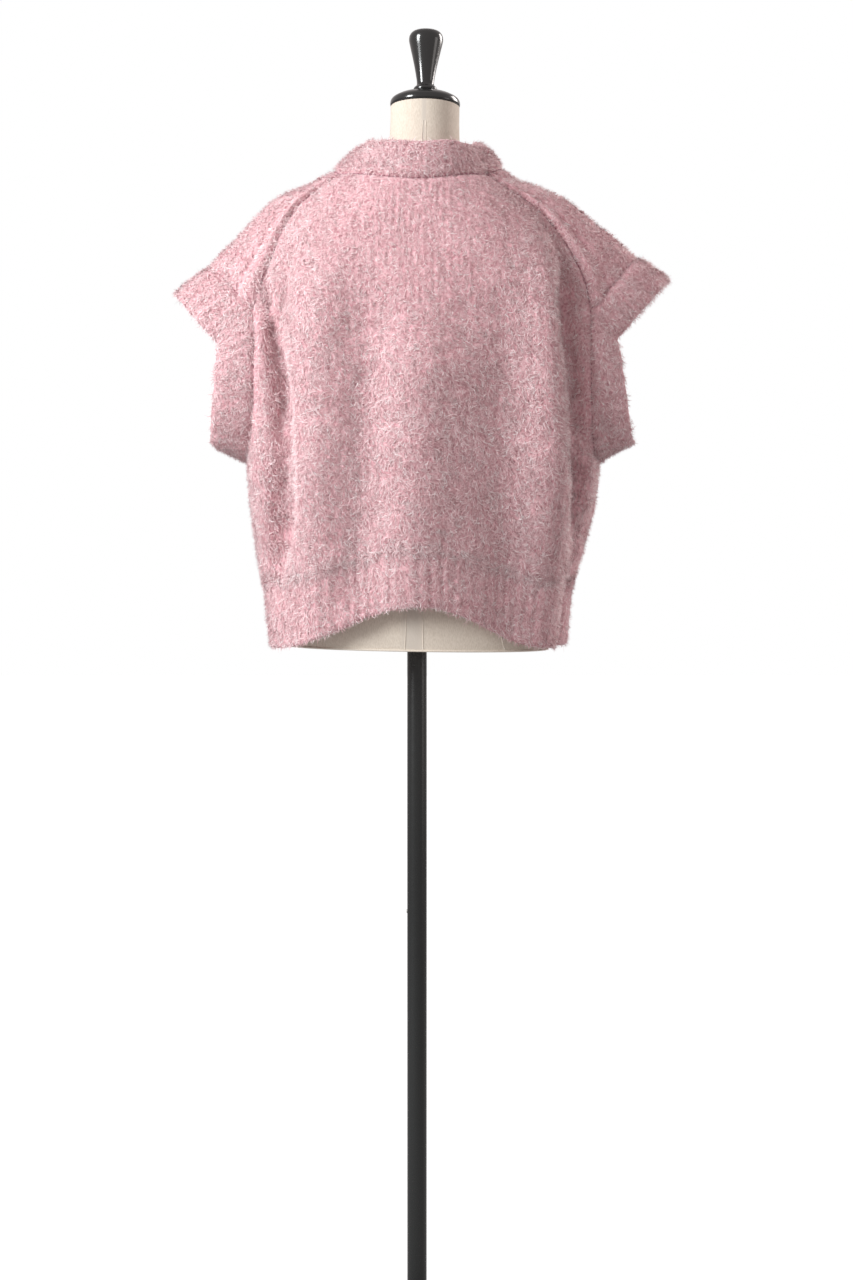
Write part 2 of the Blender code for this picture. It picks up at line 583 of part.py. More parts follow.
def turned(name, profile, sides, material, place=(0.0, 0.0, 0.0), tilt=0.0, lean=0.0):
    """A turned solid from heights and radii along its axis, which leans forward by tilt and right by lean."""
    points = []
    rings = []
    for height, radius in profile:
        if radius == 0.0:
            rings.append([len(points)])
            points.append((0.0, 0.0, height))
        else:
            rings.append(list(range(len(points), len(points) + sides)))
            for number in range(sides):
                angle = 2.0 * math.pi * number / sides
                points.append((radius * math.cos(angle), radius * math.sin(angle), height))
    faces = []
    for low, high in zip(rings, rings[1:]):
        for number in range(sides):
            beside = (number + 1) % sides
            if len(low) == 1:
                faces.append((low[0], high[beside], high[number]))
            elif len(high) == 1:
                faces.append((low[number], low[beside], high[0]))
            else:
                faces.append((low[number], low[beside], high[beside], high[number]))
    cosine = math.cos(tilt)
    sine = math.sin(tilt)
    placed = [
        (x - lean * z + place[0], y * cosine - z * sine + place[1], y * sine + z * cosine + lean * x + place[2])
        for x, y, z in points
    ]
    return make_object(name, placed, faces, material)


def lean_x(z):
    """How far the form's middle lies to the wearer's right at a height."""
    return -FORM_LEAN * (z - FORM_BOTTOM)


def add_form():
    """The dress form: one smooth closed torso, whose neck ends in a plane that slopes to the front."""
    heights = [ring.z for ring in FORM_RINGS]
    levels = np.linspace(0.0, len(heights) - 1, FORM_ROWS)
    angles = np.linspace(0.0, 2.0 * math.pi, FORM_SIDES, endpoint=False)
    points = []
    for level in levels:
        z = float(column(FORM_RINGS, "z", level))
        left = float(column(FORM_RINGS, "left_x", level))
        right = float(column(FORM_RINGS, "right_x", level))
        back = float(column(FORM_RINGS, "back_y", level))
        front = float(column(FORM_RINGS, "front_y", level))
        power = float(column(FORM_RINGS, "power", level))
        middle = (back + front) / 2.0
        depth = (back - front) / 2.0
        half = np.where(np.cos(angles) > 0.0, left, right)
        x = half * np.sign(np.cos(angles)) * np.abs(np.cos(angles)) ** (2.0 / power)
        y = middle + depth * np.sign(np.sin(angles)) * np.abs(np.sin(angles)) ** (2.0 / power)
        points.extend(zip(x + lean_x(z), y, z + FORM_LEAN * x))
    last = np.array(points[-FORM_SIDES:])
    top = last.copy()
    top[:, 0] += lean_x(NECK_TOP) - lean_x(heights[-1])
    top[:, 2] = NECK_TOP + (top[:, 1] - NECK_MIDDLE_Y) * math.tan(NECK_TILT)
    top[:, 2] += FORM_LEAN * (top[:, 0] - lean_x(NECK_TOP))
    points.extend(top)
    rows = FORM_ROWS + 1
    faces = [tuple(range(FORM_SIDES))[::-1], tuple((rows - 1) * FORM_SIDES + n for n in range(FORM_SIDES))]
    for row in range(rows - 1):
        for number in range(FORM_SIDES):
            start = row * FORM_SIDES + number
            stop = row * FORM_SIDES + (number + 1) % FORM_SIDES
            faces.append((start, stop, stop + FORM_SIDES, start + FORM_SIDES))
    return make_object("dress_form", points, faces, LINEN)


def add_stand():
    """The neck cap, the knob, the pole, the hub and the base plate."""
    neck = (lean_x(NECK_TOP), NECK_MIDDLE_Y, NECK_TOP)
    turned("neck_cap", CAP_PROFILE, CAP_SIDES, BLACK, neck, NECK_TILT, FORM_LEAN)
    turned("neck_knob", KNOB_PROFILE, POLE_SIDES, BLACK, neck, NECK_TILT, FORM_LEAN)
    pole_bottom = HUB_PROFILE[-1][0] + CONTACT_GAP
    pole_top = FORM_BOTTOM - CONTACT_GAP - FORM_LEAN * POLE_RADIUS
    pole = ((pole_bottom, 0.0), (pole_bottom, POLE_RADIUS), (pole_top, POLE_RADIUS), (pole_top, 0.0))
    turned("pole", pole, POLE_SIDES, SATIN)
    turned("base_hub", HUB_PROFILE, CAP_SIDES, SATIN)
    plate = (
        (0.0, 0.0),
        (0.0, BASE_RADIUS),
        (BASE_THICKNESS - BASE_BEVEL, BASE_RADIUS),
        (BASE_THICKNESS, BASE_RADIUS - BASE_BEVEL),
        (BASE_THICKNESS, 0.0),
    )
    turned("base_plate", plate, PLATE_SIDES, SATIN)


add_vest()
add_form()
add_stand()
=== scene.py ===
"""Visual model of the fluffy knitted vest on its dress form, for a camera straight behind it."""
import math
from collections import namedtuple

import bmesh
import bpy
import numpy as np
from mathutils import Matrix, Vector, noise


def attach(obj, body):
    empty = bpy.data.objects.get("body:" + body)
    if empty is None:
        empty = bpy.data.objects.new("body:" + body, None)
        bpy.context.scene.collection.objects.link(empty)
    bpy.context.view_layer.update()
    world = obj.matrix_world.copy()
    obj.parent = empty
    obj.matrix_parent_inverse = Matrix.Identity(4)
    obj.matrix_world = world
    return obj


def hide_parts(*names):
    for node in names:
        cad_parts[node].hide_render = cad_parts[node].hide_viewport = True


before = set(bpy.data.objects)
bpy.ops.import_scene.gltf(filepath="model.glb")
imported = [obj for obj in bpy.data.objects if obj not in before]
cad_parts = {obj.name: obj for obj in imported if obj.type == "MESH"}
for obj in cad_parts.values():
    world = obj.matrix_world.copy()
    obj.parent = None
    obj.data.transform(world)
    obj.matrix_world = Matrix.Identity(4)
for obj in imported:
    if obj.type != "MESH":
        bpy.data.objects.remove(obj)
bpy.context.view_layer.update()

ROOT = "root"
SIDES = ((1, "left"), (-1, "right"))


def place_object(name, data):
    """A new object in the scene."""
    piece = bpy.data.objects.new(name, data)
    bpy.context.scene.collection.objects.link(piece)
    return piece


def table(columns, *rows):
    """Rows of numbers with named columns."""
    make = namedtuple("Row", columns)._make
    return [make(row) for row in rows]


# The camera stands behind the form, level, and its picture is shifted down along the pole.
CAMERA_DISTANCE = 4.5
CAMERA_HEIGHT = 1.2184
METRES_PER_PIXEL = 0.00137
PICTURE_WIDTH = 853
PICTURE_HEIGHT = 1280
AXIS_PIXEL_X = 417
AXIS_PIXEL_Y = 460
SENSOR = 36.0

camera_data = bpy.data.cameras.new("camera")
camera = place_object("camera", camera_data)
bpy.context.scene.camera = camera
camera.location = (0.0, CAMERA_DISTANCE, CAMERA_HEIGHT)
camera.rotation_euler = (math.radians(90.0), 0.0, math.radians(180.0))
camera_data.sensor_width = SENSOR
camera_data.lens = SENSOR * CAMERA_DISTANCE / (PICTURE_HEIGHT * METRES_PER_PIXEL)
camera_data.shift_x = (PICTURE_WIDTH / 2 - AXIS_PIXEL_X) / PICTURE_HEIGHT
camera_data.shift_y = (AXIS_PIXEL_Y - PICTURE_HEIGHT / 2) / PICTURE_HEIGHT
camera_data.clip_end = 60.0

# Sizes of the cloth, as in the solids
WALL = 0.0035
RIB_WALL = 0.0045
COLLAR_WALL = 0.0075
RIB_RAISE = 0.0020
WELT_RAISE = 0.0032
PANEL_COLUMNS = 36
FORM_BOTTOM = 0.963
FORM_LEAN = 0.0150
NECK_TOP = 1.702
NECK_TILT = math.radians(9.0)
NECK_MIDDLE_Y = -0.008
POLE_RADIUS = 0.0134
CONTACT_GAP = 0.0003

# The sections of the body, from the hem to the collar seam. Each row gives both ends of a section, which lie
# on the side seams, then the armhole seams, then the raglan seams, and its middle, at the back and front.
# power and root set how square the section is: y falls from middle to end as (1 - s ** power) ** (1 / root).
SECTIONS = table(
    "left_x right_x end_z back_y front_y back_mid_y back_mid_z front_mid_y front_mid_z power root",
    (0.1990, 0.1870, 0.9640, 0.000, 0.000, 0.1300, 1.0235, -0.1500, 0.990, 2.6, 2.6),
    (0.2090, 0.1990, 1.0520, 0.000, 0.000, 0.1320, 1.0985, -0.1520, 1.075, 2.6, 2.6),
    (0.2215, 0.2200, 1.1070, 0.000, 0.000, 0.1340, 1.1400, -0.1550, 1.125, 2.7, 2.7),
    (0.2265, 0.2420, 1.1640, 0.000, 0.000, 0.1370, 1.1860, -0.1590, 1.178, 3.0, 3.0),
    (0.2315, 0.2485, 1.2140, 0.000, 0.000, 0.1390, 1.2260, -0.1630, 1.224, 3.2, 3.4),
    (0.2285, 0.2430, 1.2235, 0.034, -0.032, 0.1395, 1.2360, -0.1640, 1.236, 3.2, 2.4),
    (0.2255, 0.2385, 1.2450, 0.057, -0.054, 0.1390, 1.2550, -0.1645, 1.257, 3.2, 1.6),
    (0.2220, 0.2350, 1.3000, 0.076, -0.073, 0.1380, 1.3030, -0.1640, 1.306, 3.2, 1.3),
    (0.2205, 0.2345, 1.3600, 0.078, -0.076, 0.1360, 1.3600, -0.1600, 1.358, 3.4, 1.2),
    (0.2200, 0.2350, 1.4000, 0.073, -0.073, 0.1345, 1.3980, -0.1530, 1.393, 3.4, 1.2),
    (0.2215, 0.2350, 1.4215, 0.068, -0.070, 0.1330, 1.4180, -0.1490, 1.412, 3.4, 1.2),
    (0.2092, 0.2254, 1.4650, 0.066, -0.067, 0.1280, 1.4610, -0.1380, 1.444, 3.2, 1.2),
    (0.1970, 0.2130, 1.4910, 0.062, -0.062, 0.1230, 1.4860, -0.1310, 1.463, 3.0, 1.2),
    (0.1900, 0.2000, 1.5140, 0.057, -0.057, 0.1180, 1.5090, -0.1250, 1.484, 2.8, 1.2),
    (0.1780, 0.1825, 1.5390, 0.051, -0.051, 0.1110, 1.5340, -0.1190, 1.506, 2.6, 1.2),
    (0.1597, 0.1555, 1.5665, 0.046, -0.046, 0.1020, 1.5620, -0.1140, 1.530, 2.4, 1.2),
    (0.1355, 0.1260, 1.5850, 0.043, -0.042, 0.0950, 1.5820, -0.1090, 1.546, 2.2, 1.2),
    (0.1060, 0.0950, 1.6070, 0.040, -0.038, 0.0880, 1.5985, -0.1050, 1.560, 2.0, 1.2),
)
RIB_TOP = 1
UNDERARM = 4
RAGLAN_FOOT = 10
NECK = 17

# Vertical folds. Their places are measured along the cloth from its middle, positive to the wearer's left, at
# the fold's low and high ends. height is out of the cloth if positive, and a valley if negative.
FOLDS = table(
    "panel low_place high_place width height low_z high_z fade",
    ("back", 0.140, 0.130, 0.034, 0.010, 0.90, 1.40, 0.12),
    ("back", 0.206, 0.196, 0.018, -0.024, 1.10, 1.44, 0.10),
    ("back", 0.088, 0.074, 0.028, -0.005, 0.90, 1.36, 0.14),
    ("back", 0.014, -0.006, 0.042, 0.012, 0.90, 1.36, 0.14),
    ("back", -0.120, -0.116, 0.040, -0.010, 1.00, 1.36, 0.12),
    ("back", -0.192, -0.180, 0.028, 0.011, 1.00, 1.46, 0.12),
    ("back", -0.250, -0.220, 0.017, -0.030, 1.18, 1.46, 0.10),
    ("front", -0.250, -0.296, 0.034, 0.029, 0.90, 1.17, 0.07),
    ("front", 0.196, 0.186, 0.024, 0.007, 0.90, 1.42, 0.08),
    ("front", 0.158, 0.150, 0.024, -0.009, 0.90, 1.24, 0.14),
    ("front", -0.154, -0.142, 0.026, -0.009, 0.90, 1.22, 0.14),
    ("front", 0.090, 0.102, 0.028, 0.006, 0.90, 1.22, 0.14),
    ("front", -0.084, -0.106, 0.028, 0.007, 0.90, 1.20, 0.14),
    ("front", 0.004, 0.000, 0.032, -0.005, 0.90, 1.18, 0.12),
)

# How far each shoulder cap rises over the line between its two raglan seams, from the foot to the collar.
CAP_RISES = table(
    "level out_left up_left out_right up_right",
    (10, 0.0610, 0.0625, 0.0640, 0.0740),
    (11, 0.0530, 0.0410, 0.0510, 0.0500),
    (12, 0.0460, 0.0330, 0.0420, 0.0410),
    (13, 0.0380, 0.0280, 0.0350, 0.0330),
    (14, 0.0260, 0.0260, 0.0300, 0.0280),
    (15, 0.0180, 0.0170, 0.0240, 0.0200),
    (16, 0.0140, 0.0080, 0.0180, 0.0130),
    (17, 0.0080, 0.0060, 0.0220, 0.0100),
)
# The columns of a cap in the solids, from its back seam to its front one
CAP_PLACES = (-1.0, -0.94, -0.84, -0.76, -0.42, 0.0, 0.42, 0.76, 0.84, 0.94, 1.0)
CAP_POWER = 2.1
CAP_ROOT = 0.9

# From the armhole seam to the band's free edge, at places round the armhole: 0 is the underarm, 1 the foot
# of the raglan seam and 2 the shoulder.
BAND_REACHES = table(
    "place out_left up_left bulge_left out_right up_right bulge_right towards_middle",
    (0.00, 0.0440, 0.0260, 0.0020, 0.0440, 0.0320, 0.0000, 0.000),
    (0.18, 0.0500, 0.0150, 0.0040, 0.0550, 0.0180, 0.0030, 0.006),
    (0.45, 0.0560, -0.0080, 0.0060, 0.0520, -0.0080, 0.0060, 0.010),
    (0.75, 0.0520, -0.0270, 0.0060, 0.0420, -0.0250, 0.0060, 0.010),
    (1.00, 0.0520, -0.0420, 0.0060, 0.0370, -0.0400, 0.0060, 0.008),
    (1.50, 0.0520, -0.0400, 0.0040, 0.0400, -0.0360, 0.0050, 0.004),
    (2.00, 0.0490, -0.0375, 0.0020, 0.0466, -0.0310, 0.0050, 0.000),
)
ARMHOLE_X = 0.25
ARMHOLE_Z = 1.34
CHEST_Z = 1.30
BAND_ROWS = (0.0, 0.25, 0.80, 1.0)

# The collar's top edge is an oval, seen from above, and stands over the collar seam by these heights. It
# rises to the wearer's left by its tilt.
COLLAR_TOP_X = -0.0115
COLLAR_TOP_HALF_WIDTH = 0.0710
COLLAR_TOP_BACK_Y = 0.0640
COLLAR_TOP_FRONT_Y = -0.0780
COLLAR_BACK_HEIGHT = 0.0530
COLLAR_SIDE_HEIGHT = 0.0420
COLLAR_FRONT_HEIGHT = 0.0400
COLLAR_TILT = 0.045
COLLAR_BULGE = 0.004
COLLAR_ROWS = (0.0, 0.15, 0.55, 0.88, 1.0)

# The dress form, from its flat bottom to the top of its neck.
FORM_RINGS = table(
    "z left_x right_x back_y front_y power",
    (0.963, 0.1795, 0.1795, 0.112, -0.112, 2.2),
    (0.985, 0.1825, 0.1825, 0.116, -0.114, 2.2),
    (1.030, 0.1820, 0.1820, 0.119, -0.114, 2.2),
    (1.080, 0.1700, 0.1700, 0.114, -0.111, 2.2),
    (1.140, 0.1480, 0.1480, 0.102, -0.105, 2.2),
    (1.190, 0.1380, 0.1380, 0.096, -0.103, 2.2),
    (1.250, 0.1440, 0.1440, 0.101, -0.115, 2.2),
    (1.310, 0.1560, 0.1560, 0.107, -0.136, 2.2),
    (1.360, 0.1640, 0.1640, 0.112, -0.142, 2.2),
    (1.420, 0.1720, 0.1720, 0.116, -0.128, 2.2),
    (1.480, 0.1780, 0.1770, 0.114, -0.104, 2.1),
    (1.530, 0.1860, 0.1780, 0.104, -0.084, 2.0),
    (1.560, 0.1893, 0.1738, 0.091, -0.074, 1.8),
    (1.580, 0.1715, 0.1505, 0.080, -0.068, 1.65),
    (1.600, 0.1200, 0.1005, 0.068, -0.063, 1.7),
    (1.620, 0.0640, 0.0620, 0.056, -0.060, 2.0),
    (1.645, 0.0495, 0.0495, 0.044, -0.057, 2.0),
    (1.680, 0.0480, 0.0480, 0.040, -0.056, 2.0),
)


def smooth(places, values, at):
    """Cubic curve through values at places, which never swings past its neighbours."""
    places = np.asarray(places, float)
    values = np.asarray(values, float)
    at = np.asarray(at, float)
    rises = np.diff(values) / np.diff(places)
    product = rises[:-1] * rises[1:]
    total = rises[:-1] + rises[1:]
    inner = np.where(product > 0.0, 2.0 * product / np.where(total == 0.0, 1.0, total), 0.0)
    slopes = np.concatenate((rises[:1], inner, rises[-1:]))
    index = np.clip(np.searchsorted(places, at, side="right") - 1, 0, len(places) - 2)
    step = places[index + 1] - places[index]
    t = (at - places[index]) / step
    start = values[index] * (2 * t**3 - 3 * t**2 + 1) + slopes[index] * step * (t**3 - 2 * t**2 + t)
    return start + values[index + 1] * (3 * t**2 - 2 * t**3) + slopes[index + 1] * step * (t**3 - t**2)


def column(rows, name, at, places=None):
    """One named column of a table, read at a place between its rows."""
    if places is None:
        places = range(len(rows))
    return smooth(list(places), [getattr(row, name) for row in rows], at)


def unit(vectors):
    return vectors / np.maximum(np.linalg.norm(vectors, axis=-1, keepdims=True), 1e-12)


def eased(t):
    """0 below 0, 1 above 1 and smooth between them."""
    t = np.clip(t, 0.0, 1.0)
    return t**2 * (3.0 - 2.0 * t)


def fade_window(z, low, high, fade):
    """1 between low and high, falling smoothly to 0 over the fade beyond them."""
    return eased((z - low) / fade + 1.0) * eased((high - z) / fade + 1.0)


def bump_between(values, low, high, blend):
    """1 between low and high and 0 outside, with smooth flanks that lie half outside."""
    return eased((values - low) / blend + 0.5) * eased((high - values) / blend + 0.5)


def near(distance, width, power=2):
    """1 at no distance, falling to 0 over about a width."""
    return np.exp(-((distance / width) ** power))


def column_evenness(level, half_length):
    """1 for even columns. Less draws them to the middle, so that they run on straight past the underarm."""
    share = eased((level - RIB_TOP) / (UNDERARM - RIB_TOP))
    return 1.0 + (min(1.0, ARMHOLE_HALF_SECTION / half_length) - 1.0) * share


def half_section(panel, level, side, across):
    """Points of one half of a section, at places across, 0 in the middle and 1 at its end, with its folds."""
    x_name = "left_x" if side > 0 else "right_x"
    names = (x_name, panel + "_y", "end_z", panel + "_mid_y", panel + "_mid_z", "power", "root")
    end_x, end_y, end_z, mid_y, mid_z, power, root = (float(column(SECTIONS, name, level)) for name in names)
    s = 1.0 - (1.0 - np.linspace(0.0, 1.0, SECTION_SAMPLES)) ** 2
    x = side * end_x * s
    y = end_y + (mid_y - end_y) * np.maximum(1.0 - s**power, 0.0) ** (1.0 / root)
    z = mid_z + (end_z - mid_z) * (1.0 - np.cos(math.pi * s)) / 2.0
    length = np.concatenate(([0.0], np.cumsum(np.hypot(np.diff(x), np.diff(y)))))
    evenness = column_evenness(level, length[-1])
    wanted = length[-1] * (evenness * across + (1.0 - evenness) * across**EVENNESS_POWER)
    points = np.stack([np.interp(wanted, length, values) for values in (x, y, z)], axis=-1)
    slope_x = np.interp(wanted, length, np.gradient(x, length))
    slope_y = np.interp(wanted, length, np.gradient(y, length))
    outward = np.stack([slope_y, -slope_x, np.zeros_like(slope_x)], axis=-1)
    outward *= -side if panel == "back" else side
    shift = np.zeros_like(wanted)
    for fold in FOLDS:
        if fold.panel == panel:
            part = np.clip((points[:, 2] - fold.low_z) / (fold.high_z - fold.low_z), 0.0, 1.0)
            centre = side * (fold.low_place + (fold.high_place - fold.low_place) * part)
            window = fade_window(points[:, 2], fold.low_z, fold.high_z, fold.fade)
            shift += fold.height * window * near(wanted - centre, fold.width)
    shift *= 1.0 - across**FOLD_END_POWER
    return points + unit(outward) * shift[:, None]


def section_points(panel, level, across):
    """Points of a whole section. across runs from -1 on the right to +1 on the left."""
    left = half_section(panel, level, 1, np.maximum(across, 0.0))
    right = half_section(panel, level, -1, np.maximum(-across, 0.0))
    return np.where((across >= 0.0)[:, None], left, right)


def panel_grid(panel, levels, across):
    return np.array([section_points(panel, level, across) for level in levels])


def relaxed(grid):
    """The same grid with its rows evened out inside its edges, so that no ledge shows at the underarms."""
    for _ in range(RELAX_PASSES):
        inside = (grid[:-2, 1:-1] + 2.0 * grid[1:-1, 1:-1] + grid[2:, 1:-1]) / 4.0
        grid = grid.copy()
        grid[1:-1, 1:-1] = inside
    return grid


SIDE_LEVELS = np.linspace(RIB_TOP, UNDERARM, 5)
ARMHOLE_LEVELS = np.linspace(UNDERARM, RAGLAN_FOOT, 10)
RAGLAN_LEVELS = np.linspace(RAGLAN_FOOT, NECK, 9)
BODY_LEVELS = np.concatenate((SIDE_LEVELS[:-1], ARMHOLE_LEVELS[:-1], RAGLAN_LEVELS))
HEM_LEVELS = np.linspace(0.0, RIB_TOP, 9)
ACROSS = np.linspace(-1.0, 1.0, PANEL_COLUMNS + 1)
UNDERARM_ROW = len(SIDE_LEVELS) - 1
FOOT_ROW = UNDERARM_ROW + len(ARMHOLE_LEVELS) - 1
CAP_MIDDLE = CAP_PLACES.index(0.0)
FOLD_END_POWER = 12
EVENNESS_POWER = 9
RELAX_PASSES = 4
SECTION_SAMPLES = 400
ARMHOLE_HALF_SECTION = 0.248
NOISE_STEP = 17.31
NOISE_GAIN = 1.4


def cap_grid(back, front, side):
    """The shoulder cap: rows run up the raglan seams, columns from the back seam to the front one."""
    end = -1 if side > 0 else 0
    name = "left" if side > 0 else "right"
    places = [row.level for row in CAP_RISES]
    rows = []
    for number, level in enumerate(RAGLAN_LEVELS):
        back_seam = back[FOOT_ROW + number, end]
        front_seam = front[FOOT_ROW + number, end]
        out = float(column(CAP_RISES, "out_" + name, level, places))
        up = float(column(CAP_RISES, "up_" + name, level, places))
        row = []
        for place in CAP_PLACES:
            share = (place + 1.0) / 2.0
            lift = (1.0 - abs(place) ** CAP_POWER) ** CAP_ROOT
            row.append(back_seam * (1 - share) + front_seam * share + lift * np.array((side * out, 0.0, up)))
        rows.append(row)
    return np.array(rows)


def grid_normals(points, inside):
    """Normals of a grid of points, which point away from a place inside the garment."""
    normals = unit(np.cross(np.gradient(points, axis=1), np.gradient(points, axis=0)))
    away = np.sum(normals * (points - np.array(inside)))
    return normals * math.copysign(1.0, away)


def band_half(armhole, shoulder, side, inward):
    """Flat rows of half a band, from the underarm to the shoulder, and how far each column bulges out."""
    seam = np.concatenate((armhole, shoulder))
    name = "left" if side > 0 else "right"
    places = [row.place for row in BAND_REACHES]
    at = np.concatenate((np.linspace(0.0, 1.0, len(armhole)), np.linspace(1.0, 2.0, len(shoulder) + 1)[1:]))
    out = side * column(BAND_REACHES, "out_" + name, at, places)
    up = column(BAND_REACHES, "up_" + name, at, places)
    towards = inward * column(BAND_REACHES, "towards_middle", at, places)
    reach = np.stack([out, towards, up], axis=-1)
    rows = np.array([seam + reach * share for share in BAND_ROWS])
    return rows, column(BAND_REACHES, "bulge_" + name, at, places)


def band_grids(back, front, cap, side):
    """Both halves of an armhole band: columns run from underarm to shoulder, rows from the seam out."""
    end = -1 if side > 0 else 0
    back_rows, bulge = band_half(back[UNDERARM_ROW:FOOT_ROW + 1, end], cap[0, 1:CAP_MIDDLE + 1], side, -1.0)
    front_rows = band_half(front[UNDERARM_ROW:FOOT_ROW + 1, end], cap[0, CAP_MIDDLE:-1][::-1], side, 1.0)[0]
    ring = np.concatenate((back_rows, front_rows[:, -2:0:-1]), axis=1)
    heights = np.outer(np.sin(math.pi * np.array(BAND_ROWS)), np.concatenate((bulge, bulge[-2:0:-1])))
    ring = ring + ring_normals(ring, (side * ARMHOLE_X, 0.0, ARMHOLE_Z)) * heights[:, :, None]
    shoulder = back_rows.shape[1] - 1
    front_half = np.concatenate((ring[:, shoulder:], ring[:, :1]), axis=1)[:, ::-1]
    return {"back": ring[:, :shoulder + 1], "front": front_half}


def collar_loop(back, front, caps):
    """The collar seam, once round from the wearer's left shoulder across the back."""
    left = caps[1][-1]
    right = caps[-1][-1]
    return np.concatenate(
        (left[CAP_MIDDLE:0:-1], back[-1, ::-1], right[1:], front[-1, 1:], left[-2:CAP_MIDDLE:-1])
    )


def collar_grid(back, front, caps):
    """The collar: columns run round the neck, rows from the seam to the top edge."""
    seam = collar_loop(back, front, caps)
    centre = np.array((COLLAR_TOP_X, (COLLAR_TOP_BACK_Y + COLLAR_TOP_FRONT_Y) / 2.0))
    angle = np.arctan2(seam[:, 1] - centre[1], seam[:, 0] - centre[0])
    depth = (COLLAR_TOP_BACK_Y - COLLAR_TOP_FRONT_Y) / 2.0
    top_x = centre[0] + COLLAR_TOP_HALF_WIDTH * np.cos(angle)
    top_y = centre[1] + depth * np.sin(angle)
    to_back = np.maximum(np.sin(angle), 0.0) ** 2
    to_front = np.maximum(-np.sin(angle), 0.0) ** 2
    height = COLLAR_SIDE_HEIGHT + (COLLAR_BACK_HEIGHT - COLLAR_SIDE_HEIGHT) * to_back
    height += (COLLAR_FRONT_HEIGHT - COLLAR_SIDE_HEIGHT) * to_front
    top_z = seam[:, 2] + height + COLLAR_TILT * (top_x - COLLAR_TOP_X)
    top = np.stack([top_x, top_y, top_z], axis=-1)
    rows = np.array([seam * (1 - share) + top * share for share in COLLAR_ROWS])
    bulge = COLLAR_BULGE * np.sin(math.pi * np.array(COLLAR_ROWS))[:, None, None]
    return rows + ring_normals(rows, (0.0, 0.0, CHEST_Z)) * bulge


def ring_normals(points, inside):
    """Normals of a grid whose last column runs on into its first one."""
    wide = np.concatenate((points[:, -2:], points, points[:, :2]), axis=1)
    return grid_normals(wide, inside)[:, 2:-2]


def spline(values, count, axis, closed=False):
    """Values along one axis of a grid, with count spans of a smooth curve for each span that they had."""
    values = np.moveaxis(values, axis, 0)
    if closed:
        knots = [np.roll(values, shift, axis=0) for shift in (1, 0, -1, -2)]
    else:
        first = 2.0 * values[:1] - values[1:2]
        last = 2.0 * values[-1:] - values[-2:-1]
        padded = np.concatenate((first, values, last))
        knots = [padded[start:len(padded) - 3 + start] for start in range(4)]
    before, start, stop, after = (knot[:, None] for knot in knots)
    t = (np.arange(count) / count).reshape((1, count) + (1,) * (values.ndim - 1))
    bend = 2.0 * before - 5.0 * start + 4.0 * stop - after
    twist = -before + 3.0 * start - 3.0 * stop + after
    out = 0.5 * (2.0 * start + (stop - before) * t + bend * t**2 + twist * t**3)
    out = out.reshape((-1,) + values.shape[1:])
    if not closed:
        out = np.concatenate((out, values[-1:]))
    return np.moveaxis(out, 0, axis)


def refined(grid, rows_by, columns_by, closed=False):
    return spline(spline(grid, rows_by, 0), columns_by, 1, closed)


def edge_distances(points, closed=False):
    """Distance of each point from the first row, last row, first column and last column, along the grid."""
    rows = np.linalg.norm(np.diff(points, axis=0), axis=-1)
    up = np.concatenate((np.zeros((1, points.shape[1])), np.cumsum(rows, axis=0)))
    distances = {"first_row": up, "last_row": up[-1:] - up}
    if not closed:
        columns = np.linalg.norm(np.diff(points, axis=1), axis=-1)
        along = np.concatenate((np.zeros((points.shape[0], 1)), np.cumsum(columns, axis=1)), axis=1)
        distances["first_column"] = along
        distances["last_column"] = along[:, -1:] - along
    return distances


def noise_at(points, scale, seed):
    """Smooth noise between about -1 and 1 at each point."""
    flat = points.reshape(-1, 3) * scale + seed * NOISE_STEP
    return np.array([noise.noise(Vector(point)) for point in flat]).reshape(points.shape[:-1]) * NOISE_GAIN


def make_mesh(name, points, faces, material):
    """A closed mesh whose faces look outwards, shaded smooth."""
    mesh = bpy.data.meshes.new(name)
    mesh.from_pydata([tuple(point) for point in points], [], faces)
    shape = bmesh.new()
    shape.from_mesh(mesh)
    bmesh.ops.recalc_face_normals(shape, faces=shape.faces)
    if shape.calc_volume(signed=True) < 0:
        bmesh.ops.reverse_faces(shape, faces=shape.faces)
    shape.to_mesh(mesh)
    shape.free()
    mesh.materials.append(material)
    mesh.shade_smooth()
    return place_object(name, mesh)


def carry(piece, node=None):
    """The piece rides on the body, and takes the place of the node's solid if one is named."""
    if node is not None:
        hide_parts(node)
    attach(piece, ROOT)


def grid_faces(rows, columns, closed=True, looped=False, first=0):
    """Faces of a grid of points. closed joins its last column to its first one, and looped its last row."""
    faces = []
    for row in range(rows if looped else rows - 1):
        low = first + row * columns
        high = first + (row + 1) % rows * columns
        for spot in range(columns if closed else columns - 1):
            beside = (spot + 1) % columns
            faces.append((low + spot, low + beside, high + beside, high + spot))
    return faces


